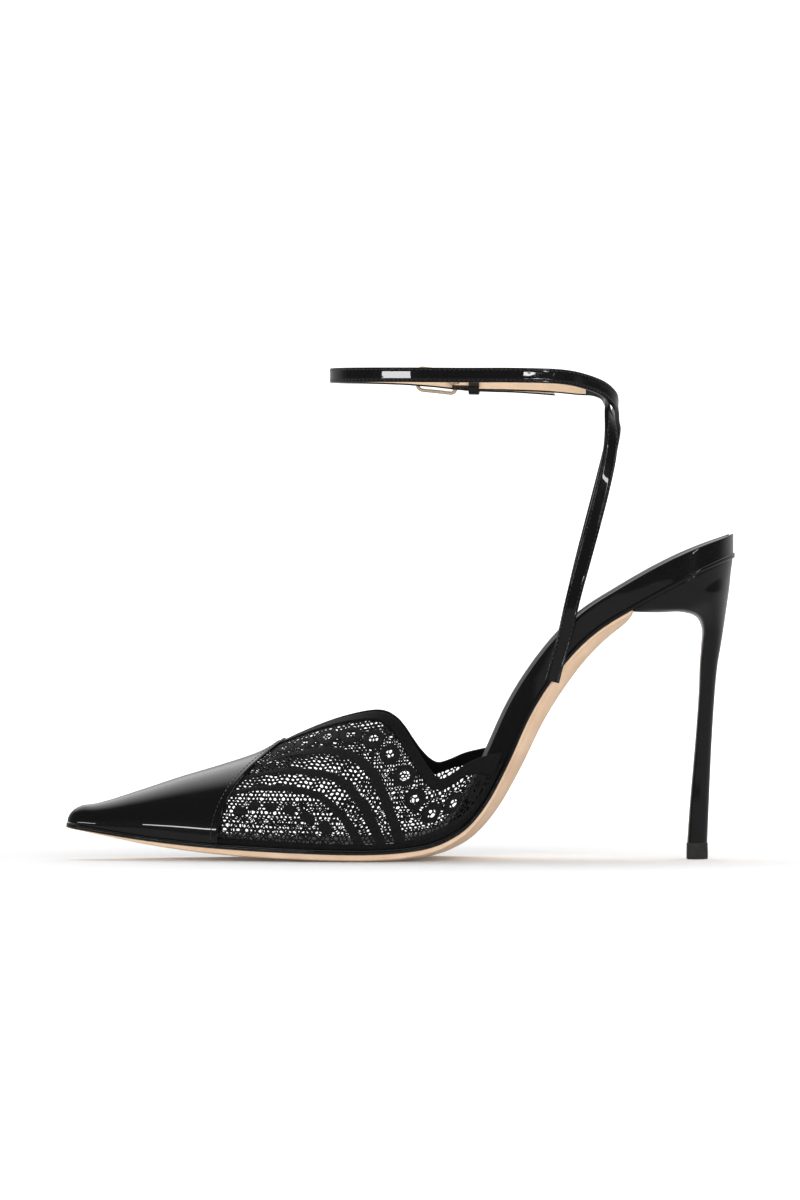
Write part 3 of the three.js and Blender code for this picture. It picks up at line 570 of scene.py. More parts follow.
# the footbed's half widths, drawn in at the toe and eased out along the nose
def bedSides(length):
    margin = -footbed["toeTuck"] * (1 - ease(0, footbed["noseReach"], length))
    return halfWidth(length, -1, margin), halfWidth(length, 1, margin)


# section: upright sides, quarter circles at the rim, and a top dished by a cosine
def footbedLoops():
    low = last["randThickness"]
    start = last["randMargin"] + footbed["toeGap"]
    length = lengths(start, last["shoeLength"] - last["randRearMargin"], footbed["stations"])[:, None]
    inner, outer = bedSides(length)
    high = bedTop(length)
    most = np.minimum((high - low) * footbed["roundOfHeight"], (outer + inner) * footbed["roundOfWidth"])
    radius = np.minimum(footbed["edgeRound"], most)
    turn = np.linspace(0, halfPi, footbed["roundPoints"])
    inward, down = radius * (1 - np.cos(turn)), radius * (1 - np.sin(turn))
    across = np.linspace(1, -1, footbed["acrossPoints"])[1:-1]
    reach = np.where(across > 0, outer, inner) - radius
    dish = footbed["dish"] * ease(0, footbed["dishWidth"], outer + inner) * np.cos(across * halfPi)
    side = np.concatenate([outer, outer - inward, across * reach, -(inner - inward[:, ::-1]), -inner], 1)
    foot = low + 0 * outer
    height = np.concatenate([foot, high - down, high - dish, high - down[:, ::-1], foot], 1)
    return place(length, side, height)


# the sock lining: a thin sheet with round edges that lies on the dish
def sockLoops():
    back = last["shoeLength"] - last["randRearMargin"]
    stop = back - sock["backInset"]
    length = lengths(sock["from"], stop, footbed["stations"])[:, None]
    inner, outer = bedSides(length)
    toe, seat = (length - sock["from"]) / sock["toeRound"], (stop - length) / sock["seatRound"]
    end = roundEnd(toe) * roundEnd(seat)
    widest = np.maximum(inner + outer, 1e-6)
    inset = np.minimum(sock["inset"], widest * sock["insetShare"])
    plainEnd = np.maximum(roundEnd((back - length) / last["seatRound"]), 1e-6)
    inner, outer = (inner / plainEnd - inset) * end, (outer / plainEnd - inset) * end
    across = np.linspace(1, -1, sock["acrossPoints"])
    bend = np.cos(np.abs(across) * sock["dishReach"] * halfPi)
    dished = bedTop(length) - footbed["dish"] * ease(0, footbed["dishWidth"], widest) * bend
    side = across * np.where(across > 0, outer, inner)
    lift = sock["lift"] + sock["thickness"] * roundEnd((1 - np.abs(across)) / sock["edgeShare"])
    upper, lower = place(length, side, dished + lift), place(length, side, dished - sock["sunk"])
    return np.concatenate([upper, lower[:, ::-1]], 1)


putLoft("footbedWrap", footbedLoops(), patentSmooth, ["footbed"], 50)
putLoft("sockLining", sockLoops(), sockLeather, [], 50)
print("sole and footbed made")

# toe cap
toeCap = {
    "thickness": 0.7,
    "gap": 0.4,
    "sunk": 0.1,
    "back": 22.5,
    "side": 50.2,
    "power": 1.15,
    "stitchIn": 1.6,
    "stitchFrom": 1.5,
    "crowding": 1.6,
    "steps": 90,
    "arcPoints": 73,
    "roll": (0.0, 0.35, 0.6, 0.7, 0.6, 0.35, 0.0),
}
toeLining = {"outer": -0.1, "inner": -0.9, "trim": 2.5, "steps": 60, "roll": (0.0, 0.2, 0.0)}


# length of the cap's edge at a turn: from its side place back to its peak, by a power of (1 - cosine)
def capEdge(turn):
    return toeCap["side"] + toeCap["back"] * np.maximum(1 - np.cos(turn), 0) ** toeCap["power"]


# a sheet over both sides from the nose to the cap's edge; rows run along the foot, columns from the
# inner side's foot over the ridge to the outer side's
def archSheet(t, across, grow, trim):
    hand = np.where(across < 0, -1, 1)
    turn = (1 - np.abs(across)) * halfPi
    nose = last["randMargin"] - last["clearance"] - last["vampWall"] - grow
    length = mix(nose, capEdge(turn) - trim, t)
    return skin(length, hand, turn, grow)


# outer sheet, rolled edge and inner sheet, one after the other, and a strip along each foot
def shellOf(name, outerGrow, innerGrow, trim, roll, steps, material, stands):
    t = (np.linspace(0, 1, steps) ** toeCap["crowding"])[:, None]
    across = np.linspace(-1, 1, toeCap["arcPoints"])[None, :]
    outer = archSheet(t, across, outerGrow, trim)
    inner = archSheet(t, across, innerGrow, trim)
    rolled = []
    for k, out in enumerate(roll):
        grow = mix(outerGrow, innerGrow, (k + 1) / (len(roll) + 1))
        rolled.append(archSheet(np.array([[1.0]]), across, grow, trim - out))
    rolled = np.concatenate(rolled, 0)
    sheet = np.concatenate([outer, rolled, inner[::-1]], 0)
    rows, columns = sheet.shape[:2]
    faces = gridFaces(rows, columns).tolist()
    step = np.arange(rows // 2)
    for column in (0, columns - 1):
        here, there = step * columns + column, (rows - 1 - step) * columns + column
        hereNext, thereNext = (step + 1) * columns + column, (rows - 2 - step) * columns + column
        faces += np.stack([here, hereNext, thereNext, there], -1).tolist()
    return putMesh(name, sheet.reshape(-1, 3), faces, material, stands, 50)


shellOf(
    "toeCapPatent", toeCap["gap"] + toeCap["thickness"], toeCap["sunk"], 0.0, toeCap["roll"],
    toeCap["steps"], patentSmooth, ["toe_cap"],
)
shellOf(
    "toeLining", toeLining["outer"], toeLining["inner"], toeLining["trim"], toeLining["roll"],
    toeLining["steps"], sockLeather, ["upper"],
)
print("toe cap made")

# heel
heelRows = np.array([  # front, frontRise, back, backRise, width, round
    (0.8805, 0.817, 0.994, 0.951, 0.32, 0.6), (0.918, 0.819, 0.9915, 0.898, 0.28, 0.55),
    (0.9418, 0.805, 0.9875, 0.835, 0.205, 0.5), (0.9512, 0.7654, 0.983, 0.7654, 0.125, 0.55),
    (0.95, 0.7058, 0.9785, 0.702, 0.086, 0.55), (0.9478, 0.643, 0.974, 0.643, 0.069, 0.55),
    (0.9463, 0.553, 0.97, 0.553, 0.06, 0.55), (0.9418, 0.411, 0.9658, 0.411, 0.055, 0.55),
    (0.9373, 0.295, 0.9632, 0.295, 0.054, 0.55), (0.9328, 0.179, 0.961, 0.179, 0.055, 0.55),
])
heel = {
    "tipFront": 0.929,
    "tipBack": 0.9586,
    "tipWidth": 0.056,
    "tipRound": 0.55,
    "topPieceHeight": 5.5,
    "frontShare": 0.72,
    "frontRound": 0.14,
    "sidePoints": 40,
    "between": 14,
    "seatSink": 0.25,
    "seatDepth": 0.6,
    "seatInset": 0.3,
    "tipSink": 0.05,
}
# height and how far the wearing piece stands out there
topPieceRows = ((5.45, -0.25), (5.5, 0.0), (5.3, 0.18), (0.5, 0.25), (0.12, 0.15), (0.0, -0.1))


# half a section's outline: full width, drawn in by quarter circles at its front and at its back
def heelLoop(front, back, width, roundShare):
    t = (1 - np.cos(np.linspace(0, np.pi, heel["sidePoints"]))) / 2
    corner = mix(heel["frontShare"], 1, roundEnd(t / heel["frontRound"]))
    half = last["ballWidth"] * width * corner * roundEnd((1 - t) / roundShare)
    line = mix(np.array(front)[None, :], np.array(back)[None, :], t[:, None])
    inner = np.stack([line[:, 0], -half, line[:, 1]], -1)
    outer = np.stack([line[:, 0], half, line[:, 1]], -1)
    return np.concatenate([inner, outer[::-1]])


# a place in the side view, from a share of the length and a height
def sideAt(along, rise):
    return (along * last["shoeLength"] - last["toeReach"], rise)


# the top loop lies on the sloping seat
def seatLoop(height):
    t = (1 - np.cos(np.linspace(0, np.pi, heel["sidePoints"]))) / 2
    stop = last["shoeLength"] - last["randRearMargin"] - heel["seatInset"]
    length = mix(outsole["breastPlace"], stop, t)
    half = {hand: halfWidth(length, hand, -heel["seatInset"]) for hand in (-1, 1)}
    return np.concatenate([place(length, -half[-1], height), place(length, half[1], height)[::-1]])


# between the control loops every point follows a cubic through them
def smoothLoops(loops, between):
    loops = np.stack(loops)
    run = runAlong(loops.mean(1))
    steps = [np.linspace(a, b, between, endpoint=False) for a, b in zip(run[:-1], run[1:])]
    return through(run, loops, np.append(np.concatenate(steps), run[-1]))


# the heel: two loops under the seat, the table's loops down its leg, and the tip
def heelLoops():
    loops = [seatLoop(heel["seatSink"]), seatLoop(-heel["seatDepth"])]
    for front, frontRise, back, backRise, width, roundShare in heelRows:
        ahead = sideAt(front, frontRise * last["seatRise"])
        behind = sideAt(back, backRise * last["seatRise"])
        loops.append(heelLoop(ahead, behind, width, roundShare))
    tip = heel["topPieceHeight"] + heel["tipSink"]
    ahead, behind = sideAt(heel["tipFront"], tip), sideAt(heel["tipBack"], tip)
    loops.append(heelLoop(ahead, behind, heel["tipWidth"], heel["tipRound"]))
    return smoothLoops(loops, heel["between"])


# the wearing piece: a little wider at the floor, with broken edges
def topPieceLoops():
    loops = []
    for height, out in topPieceRows:
        front, back = sideAt(heel["tipFront"], height), sideAt(heel["tipBack"], height)
        width = heel["tipWidth"] + out / last["ballWidth"]
        loops.append(heelLoop((front[0] - out, height), (back[0] + out, height), width, heel["tipRound"]))
    return np.stack(loops)


putLoft("heelPatent", heelLoops(), patentSmooth, ["heel"], 50)
putLoft("topPieceRubber", topPieceLoops(), heelRubber, ["top_piece"], 35)
print("heel made")

# straps
strap = {
    "width": 4.9,
    "thickness": 1.6,
    "gap": 0.45,
    "loopFront": 9.9,
    "loopLength": 95.1,
    "loopWidth": 54.0,
    "bandRise": 160.5,
    "foot": 161.5,
    "footReach": 6.8,
    "footRise": 26.7,
    "finesse": 12,
    "turnIn": 1.0,
    "footStagger": 1.0,
    "stitchIn": 0.75,
    "stitchPitch": 1.55,
    "stitchLength": 1.15,
    "stitchRadius": 0.17,
    "stitchLift": 0.04,
    "stitchFrom": 6.0,
    "groove": 0.1,
    "grooveWidth": 0.22,
    "edge": 0.4,
    "liningEdge": 0.12,
    "liningStep": 0.08,
    "facePoints": 27,
}
feetRows = np.array([(0, 0), (0.25, 0.25), (0.56, 0.505), (1, 1)])  # ahead, up
innerRoute = np.array([  # along, side, rise, facing
    (0.876, -0.72, 0.6205, -89), (0.9105, -0.655, 0.695, -85), (0.943, -0.56, 0.7695, -78),
    (0.9695, -0.43, 0.844, -66), (0.974, -0.32, 0.888, -50), (0.968, -0.185, 0.925, -28),
    (0.963, -0.02, 0.951, 0), (0.952, 0.16, 0.969, 27), (0.92, 0.33, 0.978, 43),
    (0.871, 0.55, 0.981, 55), (0.7665, 0.79, 0.988, 67), (0.6265, 0.955, 0.992, 80),
    (0.5, 0.998, 0.9935, 87), (0.434, 1.0, 0.9945, 90),
])
outerRoute = np.array([
    (0.881, 0.85, 0.6205, 89), (0.913, 0.78, 0.695, 85), (0.945, 0.67, 0.7695, 78),
    (0.975, 0.51, 0.844, 66), (0.9915, 0.36, 0.895, 50), (0.9925, 0.19, 0.9205, 28),
    (0.995, 0.0, 0.9395, 0), (0.981, -0.22, 0.957, -28), (0.942, -0.41, 0.9755, -46),
    (0.87, -0.63, 0.9905, -60), (0.8, -0.79, 0.9975, -68), (0.65, -0.95, 1.0, -80),
    (0.45, -1.0, 1.0, -90), (0.27, -0.93, 1.001, -104), (0.13, -0.74, 1.002, -122),
    (0.04, -0.44, 1.003, -146), (0.0, 0.0, 1.004, -180), (0.04, 0.44, 1.005, -214),
    (0.13, 0.74, 1.0055, -238), (0.25, 0.915, 1.004, -257), (0.314, 0.963, 1.0015, -262),
    (0.36, 1.005, 0.9995, -260), (0.41, 1.085, 0.9965, -262), (0.45, 1.107, 0.994, -270),
    (0.49, 1.094, 0.992, -273), (0.56, 1.07, 0.99, -276), (0.636, 1.028, 0.9885, -281),
    (0.709, 0.96, 0.9855, -288), (0.776, 0.868, 0.982, -293),
])


# a route's places: the table's shares times the loop's sizes, after a foot that follows the footbed's side
def strapPlaces(hand, rows):
    foot = strap["foot"] + (strap["footStagger"] if hand > 0 else 0)
    length = foot + strap["footReach"] * feetRows[:, 0]
    nearby = length + footbed["thickness"] * np.sin(pitch(length))
    side = hand * halfWidth(nearby, hand, strap["gap"] + strap["thickness"] / 2)
    rise = bottomRise(strap["foot"]) + strap["footRise"] * feetRows[:, 1]
    feet = np.stack([length - last["toeReach"], side, rise], -1)
    loop = np.stack(
        [
            strap["loopLength"] * rows[:, 0] - strap["loopFront"],
            strap["loopWidth"] / 2 * rows[:, 1],
            strap["bandRise"] * rows[:, 2],
        ],
        -1,
    )
    facing = np.concatenate([np.full(len(feet), hand * 90.0), rows[:, 3]])
    return np.concatenate([feet, loop]), np.radians(facing)


frameKeys = ("middle", "onward", "out", "across")


# frames from points, the way on and a rough way out, made square
def framesOf(middle, onward, out):
    out = squareTo(out, onward)
    across = np.cross(out, onward)
    return {"middle": middle, "onward": onward, "out": out, "across": across, "run": runAlong(middle)}


# frames along a route: a centripetal Catmull-Rom curve through its places; the way out turns with the
# route's facing and is made square to the way on
def routeFrames(places, facing, finesse):
    first, end = 2 * places[:1] - places[1:2], 2 * places[-1:] - places[-2:-1]
    p = np.concatenate([first, places, end])
    knot = np.linalg.norm(np.diff(p, axis=0), axis=1) ** 0.5
    spans = len(places) - 1
    u = np.linspace(0, spans, spans * finesse + 1)
    i = np.minimum(u.astype(int), spans - 1)
    t = (u - i)[:, None]
    d0, d1, d2 = knot[i][:, None], knot[i + 1][:, None], knot[i + 2][:, None]
    a, b, c, d = p[i], p[i + 1], p[i + 2], p[i + 3]
    s1 = ((b - a) / d0 - (c - a) / (d0 + d1) + (c - b) / d1) * d1
    s2 = ((c - b) / d1 - (d - b) / (d1 + d2) + (d - c) / d2) * d1
    middle = cubic(b, c, s1, s2, t)
    onward = unit((c - b) * (6 * t - 6 * t**2) + s1 * (3 * t**2 - 4 * t + 1) + s2 * (3 * t**2 - 2 * t))
    turned = through(np.arange(spans + 1.0), facing, u)
    return framesOf(middle, onward, np.stack([np.cos(turned), np.sin(turned), 0 * turned], -1))


# points beside frames: out and over may hold one value for each frame and point
def besideFrames(frames, out, over, on=0.0):
    return (
        frames["middle"][:, None]
        + frames["out"][:, None] * np.asarray(out)[..., None]
        + frames["across"][:, None] * np.asarray(over)[..., None]
        + frames["onward"][:, None] * (np.zeros_like(np.asarray(out)) + on)[..., None]
    )


# frames at given distances along a route
def framesAt(frames, run):
    made = {
        key: np.stack([np.interp(run, frames["run"], frames[key][:, k]) for k in range(3)], -1)
        for key in frameKeys
    }
    made = {key: value if key == "middle" else unit(value) for key, value in made.items()}
    made["run"] = np.asarray(run)
    return made


# a flat section with quarter circles at its edges, as (out, over); a stitch row lies in a groove, a bell
# curve e to the minus square of the distance from the row
def strapSection(low, high, width, edge, groove=0.0):
    turn = np.linspace(0, halfPi, 5)
    corners = []
    for outWay, overWay, flip in ((1, 1, False), (-1, 1, True), (-1, -1, False), (1, -1, True)):
        a = turn[::-1] if flip else turn
        outAt = (high if outWay > 0 else low) - outWay * edge * (1 - np.cos(a))
        overAt = overWay * (width / 2 - edge * (1 - np.sin(a)))
        corners.append(np.stack([outAt, overAt], -1))
    over = np.linspace(-1, 1, strap["facePoints"])[1:-1] * (width / 2 - edge)
    fromRow = (np.abs(over) - (width / 2 - strap["stitchIn"])) / strap["grooveWidth"]
    face = np.stack([high - groove * np.exp(-(fromRow**2)), over], -1)
    return np.concatenate(corners + [face])


# a strap's section at each frame; a tip slants it by its place across
def bandLoops(frames, low, high, width, edge, tip=0.0, groove=0.0):
    section = strapSection(low, high, width, edge, groove)
    out = np.broadcast_to(section[:, 0], (len(frames["middle"]), len(section)))
    over = np.broadcast_to(section[:, 1], out.shape)
    on = tip * over / width if tip else 0.0
    return besideFrames(frames, out, over, on)


# stitches: short domed rods that lie along the frames, all in one mesh
def stitchMesh(frames, sides, outAt, start, stop):
    at = np.arange(start, stop, strap["stitchPitch"])
    u = np.linspace(0, np.pi, 6)
    v = np.linspace(0, 2 * np.pi, 6, endpoint=False)
    along = -np.cos(u) * strap["stitchLength"] / 2
    swell = np.sin(u) ** 0.6
    points, faces = [], []
    pattern = gridFaces(len(u), len(v), closeColumns=True)
    for side in sides:
        f = framesAt(frames, (at[:, None] + along[None, :]).ravel())
        out = outAt + strap["stitchRadius"] * np.tile(swell, len(at))[:, None] * np.cos(v)
        over = side + strap["stitchRadius"] * np.tile(swell, len(at))[:, None] * np.sin(v)
        rods = besideFrames(f, out, over).reshape(len(at), -1, 3)
        base = sum(len(p) for p in points)
        points.append(rods.reshape(-1, 3))
        step = np.arange(len(at))[:, None, None] * rods.shape[1]
        faces.append((pattern[None] + step + base).reshape(-1, 4))
    return np.concatenate(points), np.concatenate(faces)


# a strap: a patent band whose edges are turned in, two stitch rows, and a lining let into its back
# from a row of its route on: the uprights are patent on both sides
def makeStrap(name, frames, node, liningFrom, stitchStop, tip=0.0):
    half = strap["thickness"] / 2
    low, groove = strap["liningStep"] - half, strap["groove"]
    band = bandLoops(frames, low, half, strap["width"], strap["edge"], tip, groove)
    putLoft(name + "Patent", band, patentStrap, [node], 50)
    lined = {key: value[int(liningFrom * strap["finesse"]):] for key, value in frames.items()}
    lining = bandLoops(lined, -half, 0, strap["width"] - strap["turnIn"], strap["liningEdge"], tip)
    putLoft(name + "Lining", lining, liningLeather, [], 50)
    inset = strap["width"] / 2 - strap["stitchIn"]
    high = half - groove + strap["stitchLift"]
    stop = frames["run"][-1] - stitchStop
    points, faces = stitchMesh(frames, (-inset, inset), high, strap["stitchFrom"], stop)
    putMesh(name + "Stitches", points, faces, stitchThread)


innerFrames = routeFrames(*strapPlaces(-1, innerRoute), strap["finesse"])
outerFrames = routeFrames(*strapPlaces(1, outerRoute), strap["finesse"])
# lining from this row of the route, stitches up to this far from the end, and how far the tip slants
makeStrap("strapInner", innerFrames, "strap_inner", 12.5, 2.5)
makeStrap("strapOuter", outerFrames, "strap_outer", 11.5, 2.0, 2.0)
print("straps made")

# buckle and keeper
buckle = {
    "barRadius": 0.65,
    "length": 12.7,
    "height": 8.8,
    "swing": 0.9,
    "lift": 1.1,
    "cornerRound": 1.6,
    "prongRadius": 0.5,
    "prongGap": 0.08,
    "prongReach": 0.9,
    "prongBow": 0.35,
    "prongTurns": (-1.25, 0.5),
    "foldWall": 0.35,
    "foldGap": 0.05,
    "foldLength": 5.0,
    "slotHalf": 0.95,
}
keeper = {"width": 3.6, "wall": 0.9, "place": 6.4, "points": 64, "power": 0.35, "edge": 0.3}
endFrame = {key: innerFrames[key][-1] for key in frameKeys}
rearBar = endFrame["middle"]
frontBar = (
    rearBar + endFrame["out"] * buckle["swing"] + endFrame["onward"] * buckle["length"]
    + np.array([0, 0, buckle["lift"]])
)


# a round tube along a path; the side way is carried from point to point
def tubeLoops(path, radius, closed=False, sides=14):
    path = np.asarray(path, float)
    if closed:
        onward = unit(np.roll(path, -1, 0) - np.roll(path, 1, 0))
    else:
        onward = unit(np.gradient(path, axis=0))
    out = squareTo(np.broadcast_to(endFrame["out"], onward.shape), onward)
    over = np.cross(out, onward)
    turn = np.linspace(0, 2 * np.pi, sides, endpoint=False)
    radius = np.broadcast_to(radius, (len(path),))[:, None, None]
    ring = out[:, None] * np.cos(turn)[None, :, None] + over[:, None] * np.sin(turn)[None, :, None]
    return path[:, None] + radius * ring


# the frame's path: a four-sided loop whose corners are quarter circles
def framePath():
    half = buckle["height"] / 2 - buckle["barRadius"]
    up = endFrame["across"]
    corners = [rearBar - up * half, rearBar + up * half, frontBar + up * half, frontBar - up * half]
    path = []
    for k in range(4):
        here, before, after = corners[k], corners[k - 1], corners[(k + 1) % 4]
        r = buckle["cornerRound"]
        a, b = unit(before - here), unit(after - here)
        turn = np.linspace(0, halfPi, 8)[:, None]
        path.append(here + r * (a * (1 - np.sin(turn)) + b * (1 - np.cos(turn))))
        here2 = here + r * b
        there2 = after - r * b
        path.append(mix(here2, there2, np.linspace(0, 1, 8)[1:-1, None]))
    return np.concatenate(path)


frameTube = tubeLoops(framePath(), buckle["barRadius"], closed=True)
putRing("buckleFrameMetal", frameTube, paleGold, ["buckle_frame"], 60)


# the prong: an eye round the rear bar, then a rod that bends down on the front bar
def prongPath():
    stand = buckle["barRadius"] + buckle["prongRadius"]
    first, final = buckle["prongTurns"]
    turn = np.linspace(first * np.pi, final * np.pi, 22)[:, None]
    around = endFrame["onward"] * np.cos(turn) + endFrame["out"] * np.sin(turn)
    eye = rearBar + (stand + buckle["prongGap"]) * around
    tip = frontBar + endFrame["out"] * stand + endFrame["onward"] * buckle["prongReach"]
    t = np.linspace(0, 1, 18)[1:, None]
    rod = mix(eye[-1], tip, t) + endFrame["out"] * buckle["prongBow"] * np.sin(np.pi * t)
    return np.concatenate([eye, rod])


prongLine = prongPath()
prongThick = buckle["prongRadius"] * np.where(np.arange(len(prongLine)) > len(prongLine) - 3, 0.8, 1.0)
putLoft("bucklePin", tubeLoops(prongLine, prongThick), paleGold, ["buckle_prong"], 60)


# the strap's end folded round the rear bar: two sleeves, above and below the prong's eye
def foldLoops(low, high):
    turn = np.linspace(-halfPi, halfPi, 15)
    back = np.linspace(-buckle["foldLength"], 0, 8)[:-1]
    points = []
    inner, outer = buckle["barRadius"] + buckle["foldGap"], strap["thickness"] / 2 + buckle["foldWall"]
    for radius, over in ((outer, low), (outer, high), (inner, high), (inner, low)):
        onward = np.concatenate([back, radius * np.cos(turn), back[::-1]])
        out = np.concatenate([np.full(7, -radius), radius * np.sin(turn), np.full(7, radius)])
        side = onward[:, None] * endFrame["onward"] + out[:, None] * endFrame["out"]
        points.append(rearBar + side + over * endFrame["across"])
    return np.stack(points, 1)


foldEdge, foldSlot = strap["width"] / 2, buckle["slotHalf"]
for word, low, high in (("Lower", -foldEdge, -foldSlot), ("Upper", foldSlot, foldEdge)):
    putLoft("strapFold" + word, foldLoops(low, high), patentStrap, [], 35)


# the keeper: a band carried round a rounded box that holds both straps
def keeperLoops():
    distance = np.linalg.norm(innerFrames["middle"] - rearBar, axis=1)
    seat = int(np.argmin(np.abs(distance - keeper["place"])))
    f = {key: innerFrames[key][seat] for key in frameKeys}
    slack = 2 * last["clearance"]
    low, high = -strap["thickness"] / 2 - slack, 1.5 * strap["thickness"] + 2 * slack
    wall = keeper["wall"]
    centre = f["middle"] + f["out"] * (low + high) / 2
    a, b = (high - low) / 2 + wall / 2, strap["width"] / 2 + slack + wall / 2
    turn = np.linspace(0, 2 * np.pi, keeper["points"], endpoint=False)
    outAt = a * squared(np.cos(turn), keeper["power"])
    overAt = b * squared(np.sin(turn), keeper["power"])
    path = centre + outAt[:, None] * f["out"] + overAt[:, None] * f["across"]
    onward = unit(np.roll(path, -1, 0) - np.roll(path, 1, 0))
    wide = np.broadcast_to(f["onward"], onward.shape)
    thick = np.cross(onward, wide)
    section = strapSection(-wall / 2, wall / 2, keeper["width"], keeper["edge"])
    return path[:, None] + thick[:, None] * section[None, :, :1] + wide[:, None] * section[None, :, 1:]


putRing("keeperPatent", keeperLoops(), patentStrap, ["keeper"], 50)
print("buckle made")

# lace: drawn flat in millimetres (length from the toe, distance up the wall) and laid on the skin
lace = {
    "from": 46.0,
    "finePitch": 1.45,
    "coarsePitch": 1.62,
    "holeShare": 0.63,
    "holeChange": 0.12,
    "jitter": 0.21,
    "netLow": -0.4,
    "netHigh": -0.18,
    "netEdge": 0.05,
    "netFoot": 0.3,
    "netTop": 52.0,
    "underMotif": 0.45,
    "underTape": 0.9,
    "endGap": 0.6,
    "tuck": 1.5,
    "motifLow": -0.45,
    "motifRise": 0.42,
    "motifDome": 0.6,
    "dotDome": 0.7,
    "fullHalf": 0.8,
    "tapeWidth": 3.4,
    "tapeLow": -0.8,
    "tapeHigh": 0.35,
    "tapeEdge": 0.35,
    "tapeOver": 0.3,
    "footTape": 1.3,
    "footTapeWidth": 1.8,
    "footTapeLow": -0.7,
    "footTapeHigh": 0.2,
    "centre": 111.3,
    "outerSpread": 1.024,
    "outerDrop": 2.1,
    "outerTop": 41.5,
}
# the net's corners wander by a sum of sines of their place: turns along, turns up, start, size
wanderAlong = ((11.3, 7.1, 0.0, 1.0), (3.1, -5.3, 0.0, 0.6))
wanderUp = ((-8.7, 13.9, 1.3, 1.0), (2.9, 4.7, 0.0, 0.6))
# places on the wall (length, up) and half widths of the bands
arcBands = {
    "outerArc": (
        (60.5, 28.9, 0.3), (66, 32.3, 0.4), (72, 34.3, 0.7), (78.5, 34.9, 1.1), (87.2, 34.8, 1.5),
        (94, 32.7, 1.6), (99.5, 28.9, 1.6), (102.8, 24.5, 1.6), (105, 19.9, 1.6), (107.2, 14.1, 1.6),
        (109.2, 8.4, 1.6), (111, 3.2, 1.7), (111.8, -0.2, 1.7),
    ),
    "middleArc": (
        (53.5, 21.0, 0.5), (58.8, 24.2, 0.6), (66.2, 26.8, 0.8), (73.8, 27.3, 1.1), (82, 26.2, 1.3),
        (87.2, 25.3, 1.35), (91.5, 23.2, 1.4), (95, 20.0, 1.5), (98, 16.0, 1.6), (100.8, 11.8, 1.6),
        (102.8, 7.4, 1.6), (104.5, 3.0, 1.6), (105.3, -0.2, 1.6),
    ),
    "innerArc": (
        (50.5, 15.0, 0.5), (55.5, 17.9, 0.55), (63, 20.2, 0.7), (71.2, 20.6, 0.9), (79.2, 19.5, 1.1),
        (84.8, 17.6, 1.15), (88.8, 14.6, 1.2), (92.8, 10.4, 1.4), (95.5, 6.4, 1.5), (97.5, 2.4, 1.6),
        (98.3, -0.2, 1.6),
    ),
    "wingFoot": (
        (110.0, 0.6, 1.0), (115.5, 1.2, 1.3), (121.0, 1.7, 1.7), (127.0, 1.8, 1.9), (133.0, 1.6, 1.8),
        (139.0, 1.4, 1.6), (144.0, 1.2, 1.4),
    ),
}
# length, up, radius of the ring's middle line, half width
ringRows = np.array([
    (73.2, 39.9, 2.1, 0.8), (79.6, 40.2, 2.3, 0.85), (87.2, 41.2, 2.6, 0.95), (95.0, 40.6, 2.6, 0.95),
    (102.6, 37.8, 2.6, 0.95), (107.9, 31.8, 2.45, 0.95), (112.8, 23.8, 2.75, 0.95),
    (116.2, 15.4, 2.6, 0.95), (121.6, 9.6, 2.3, 0.85), (128.8, 9.6, 2.2, 0.9), (136.5, 7.8, 2.1, 0.95),
])
# length, up, half length, half height, slope
dotRows = np.array([
    (58.5, 11.6, 2.3, 1.6, 0.2), (63.2, 13.8, 1.8, 1.6, 0.1), (68.8, 13.4, 2.0, 1.6, 0.0),
    (74.8, 12.9, 2.1, 1.7, -0.2), (80.8, 10.3, 2.7, 1.9, -0.45), (86.7, 7.0, 2.6, 1.9, -0.5),
])


# the pattern on one side: the outer wall leans more, so its pattern is spread along and let down, by a
# drop that falls with the square of the height
def sidePattern(rows, hand):
    rows = np.array(rows, float)
    if hand > 0:
        rows[:, 0] = lace["centre"] + (rows[:, 0] - lace["centre"]) * lace["outerSpread"]
        drop = lace["outerDrop"] * (1 - (rows[:, 1] / lace["outerTop"]) ** 2)
        rows[:, 1] = np.maximum(rows[:, 1] - drop, -0.2)
    return rows


# turn of the lace's top edge: the skin's height formula read backwards
def topTurn(length, hand):
    along = length / last["shoeLength"]
    foot = upperFoot(length)
    whole = last["peakRise"] * follow(ridgeRows, 1, along) - foot
    edge = last["peakRise"] * follow(toplineRows, 1 if hand < 0 else 2, along) - foot
    turn = np.arcsin(np.clip(edge / whole, 0.02, 1) ** (1 / last["heightPower"]))
    return np.where(along <= toplineRows[0, 0], halfPi, turn)


# distances up the wall for a fine grid of lengths and turns, one table for each side
wallStep, wallEnd = 0.25, 150.0
wallLengths = np.arange(lace["from"] - 2, wallEnd, wallStep)
wallTurns = np.linspace(0, halfPi, 161)
turnStep = wallTurns[1] - wallTurns[0]


# distances up the wall: the sum of the steps between neighbouring turns
def wallTable(hand):
    p = skin(wallLengths[:, None], hand, wallTurns[None, :], 0.0)
    steps = np.linalg.norm(np.diff(p, axis=1), axis=2)
    return np.concatenate([np.zeros((len(p), 1)), np.cumsum(steps, 1)], 1)


wallTables = {hand: wallTable(hand) for hand in (-1, 1)}


# the table's row at a length, between its two nearest rows
def wallRow(length, hand):
    at = np.clip((length - wallLengths[0]) / wallStep, 0, len(wallLengths) - 1.001)
    i = at.astype(int)
    f = (at - i)[:, None]
    return wallTables[hand][i] * (1 - f) + wallTables[hand][i + 1] * f


# one value of each row
def valueAt(row, j):
    return np.take_along_axis(row, j[:, None], 1)[:, 0]


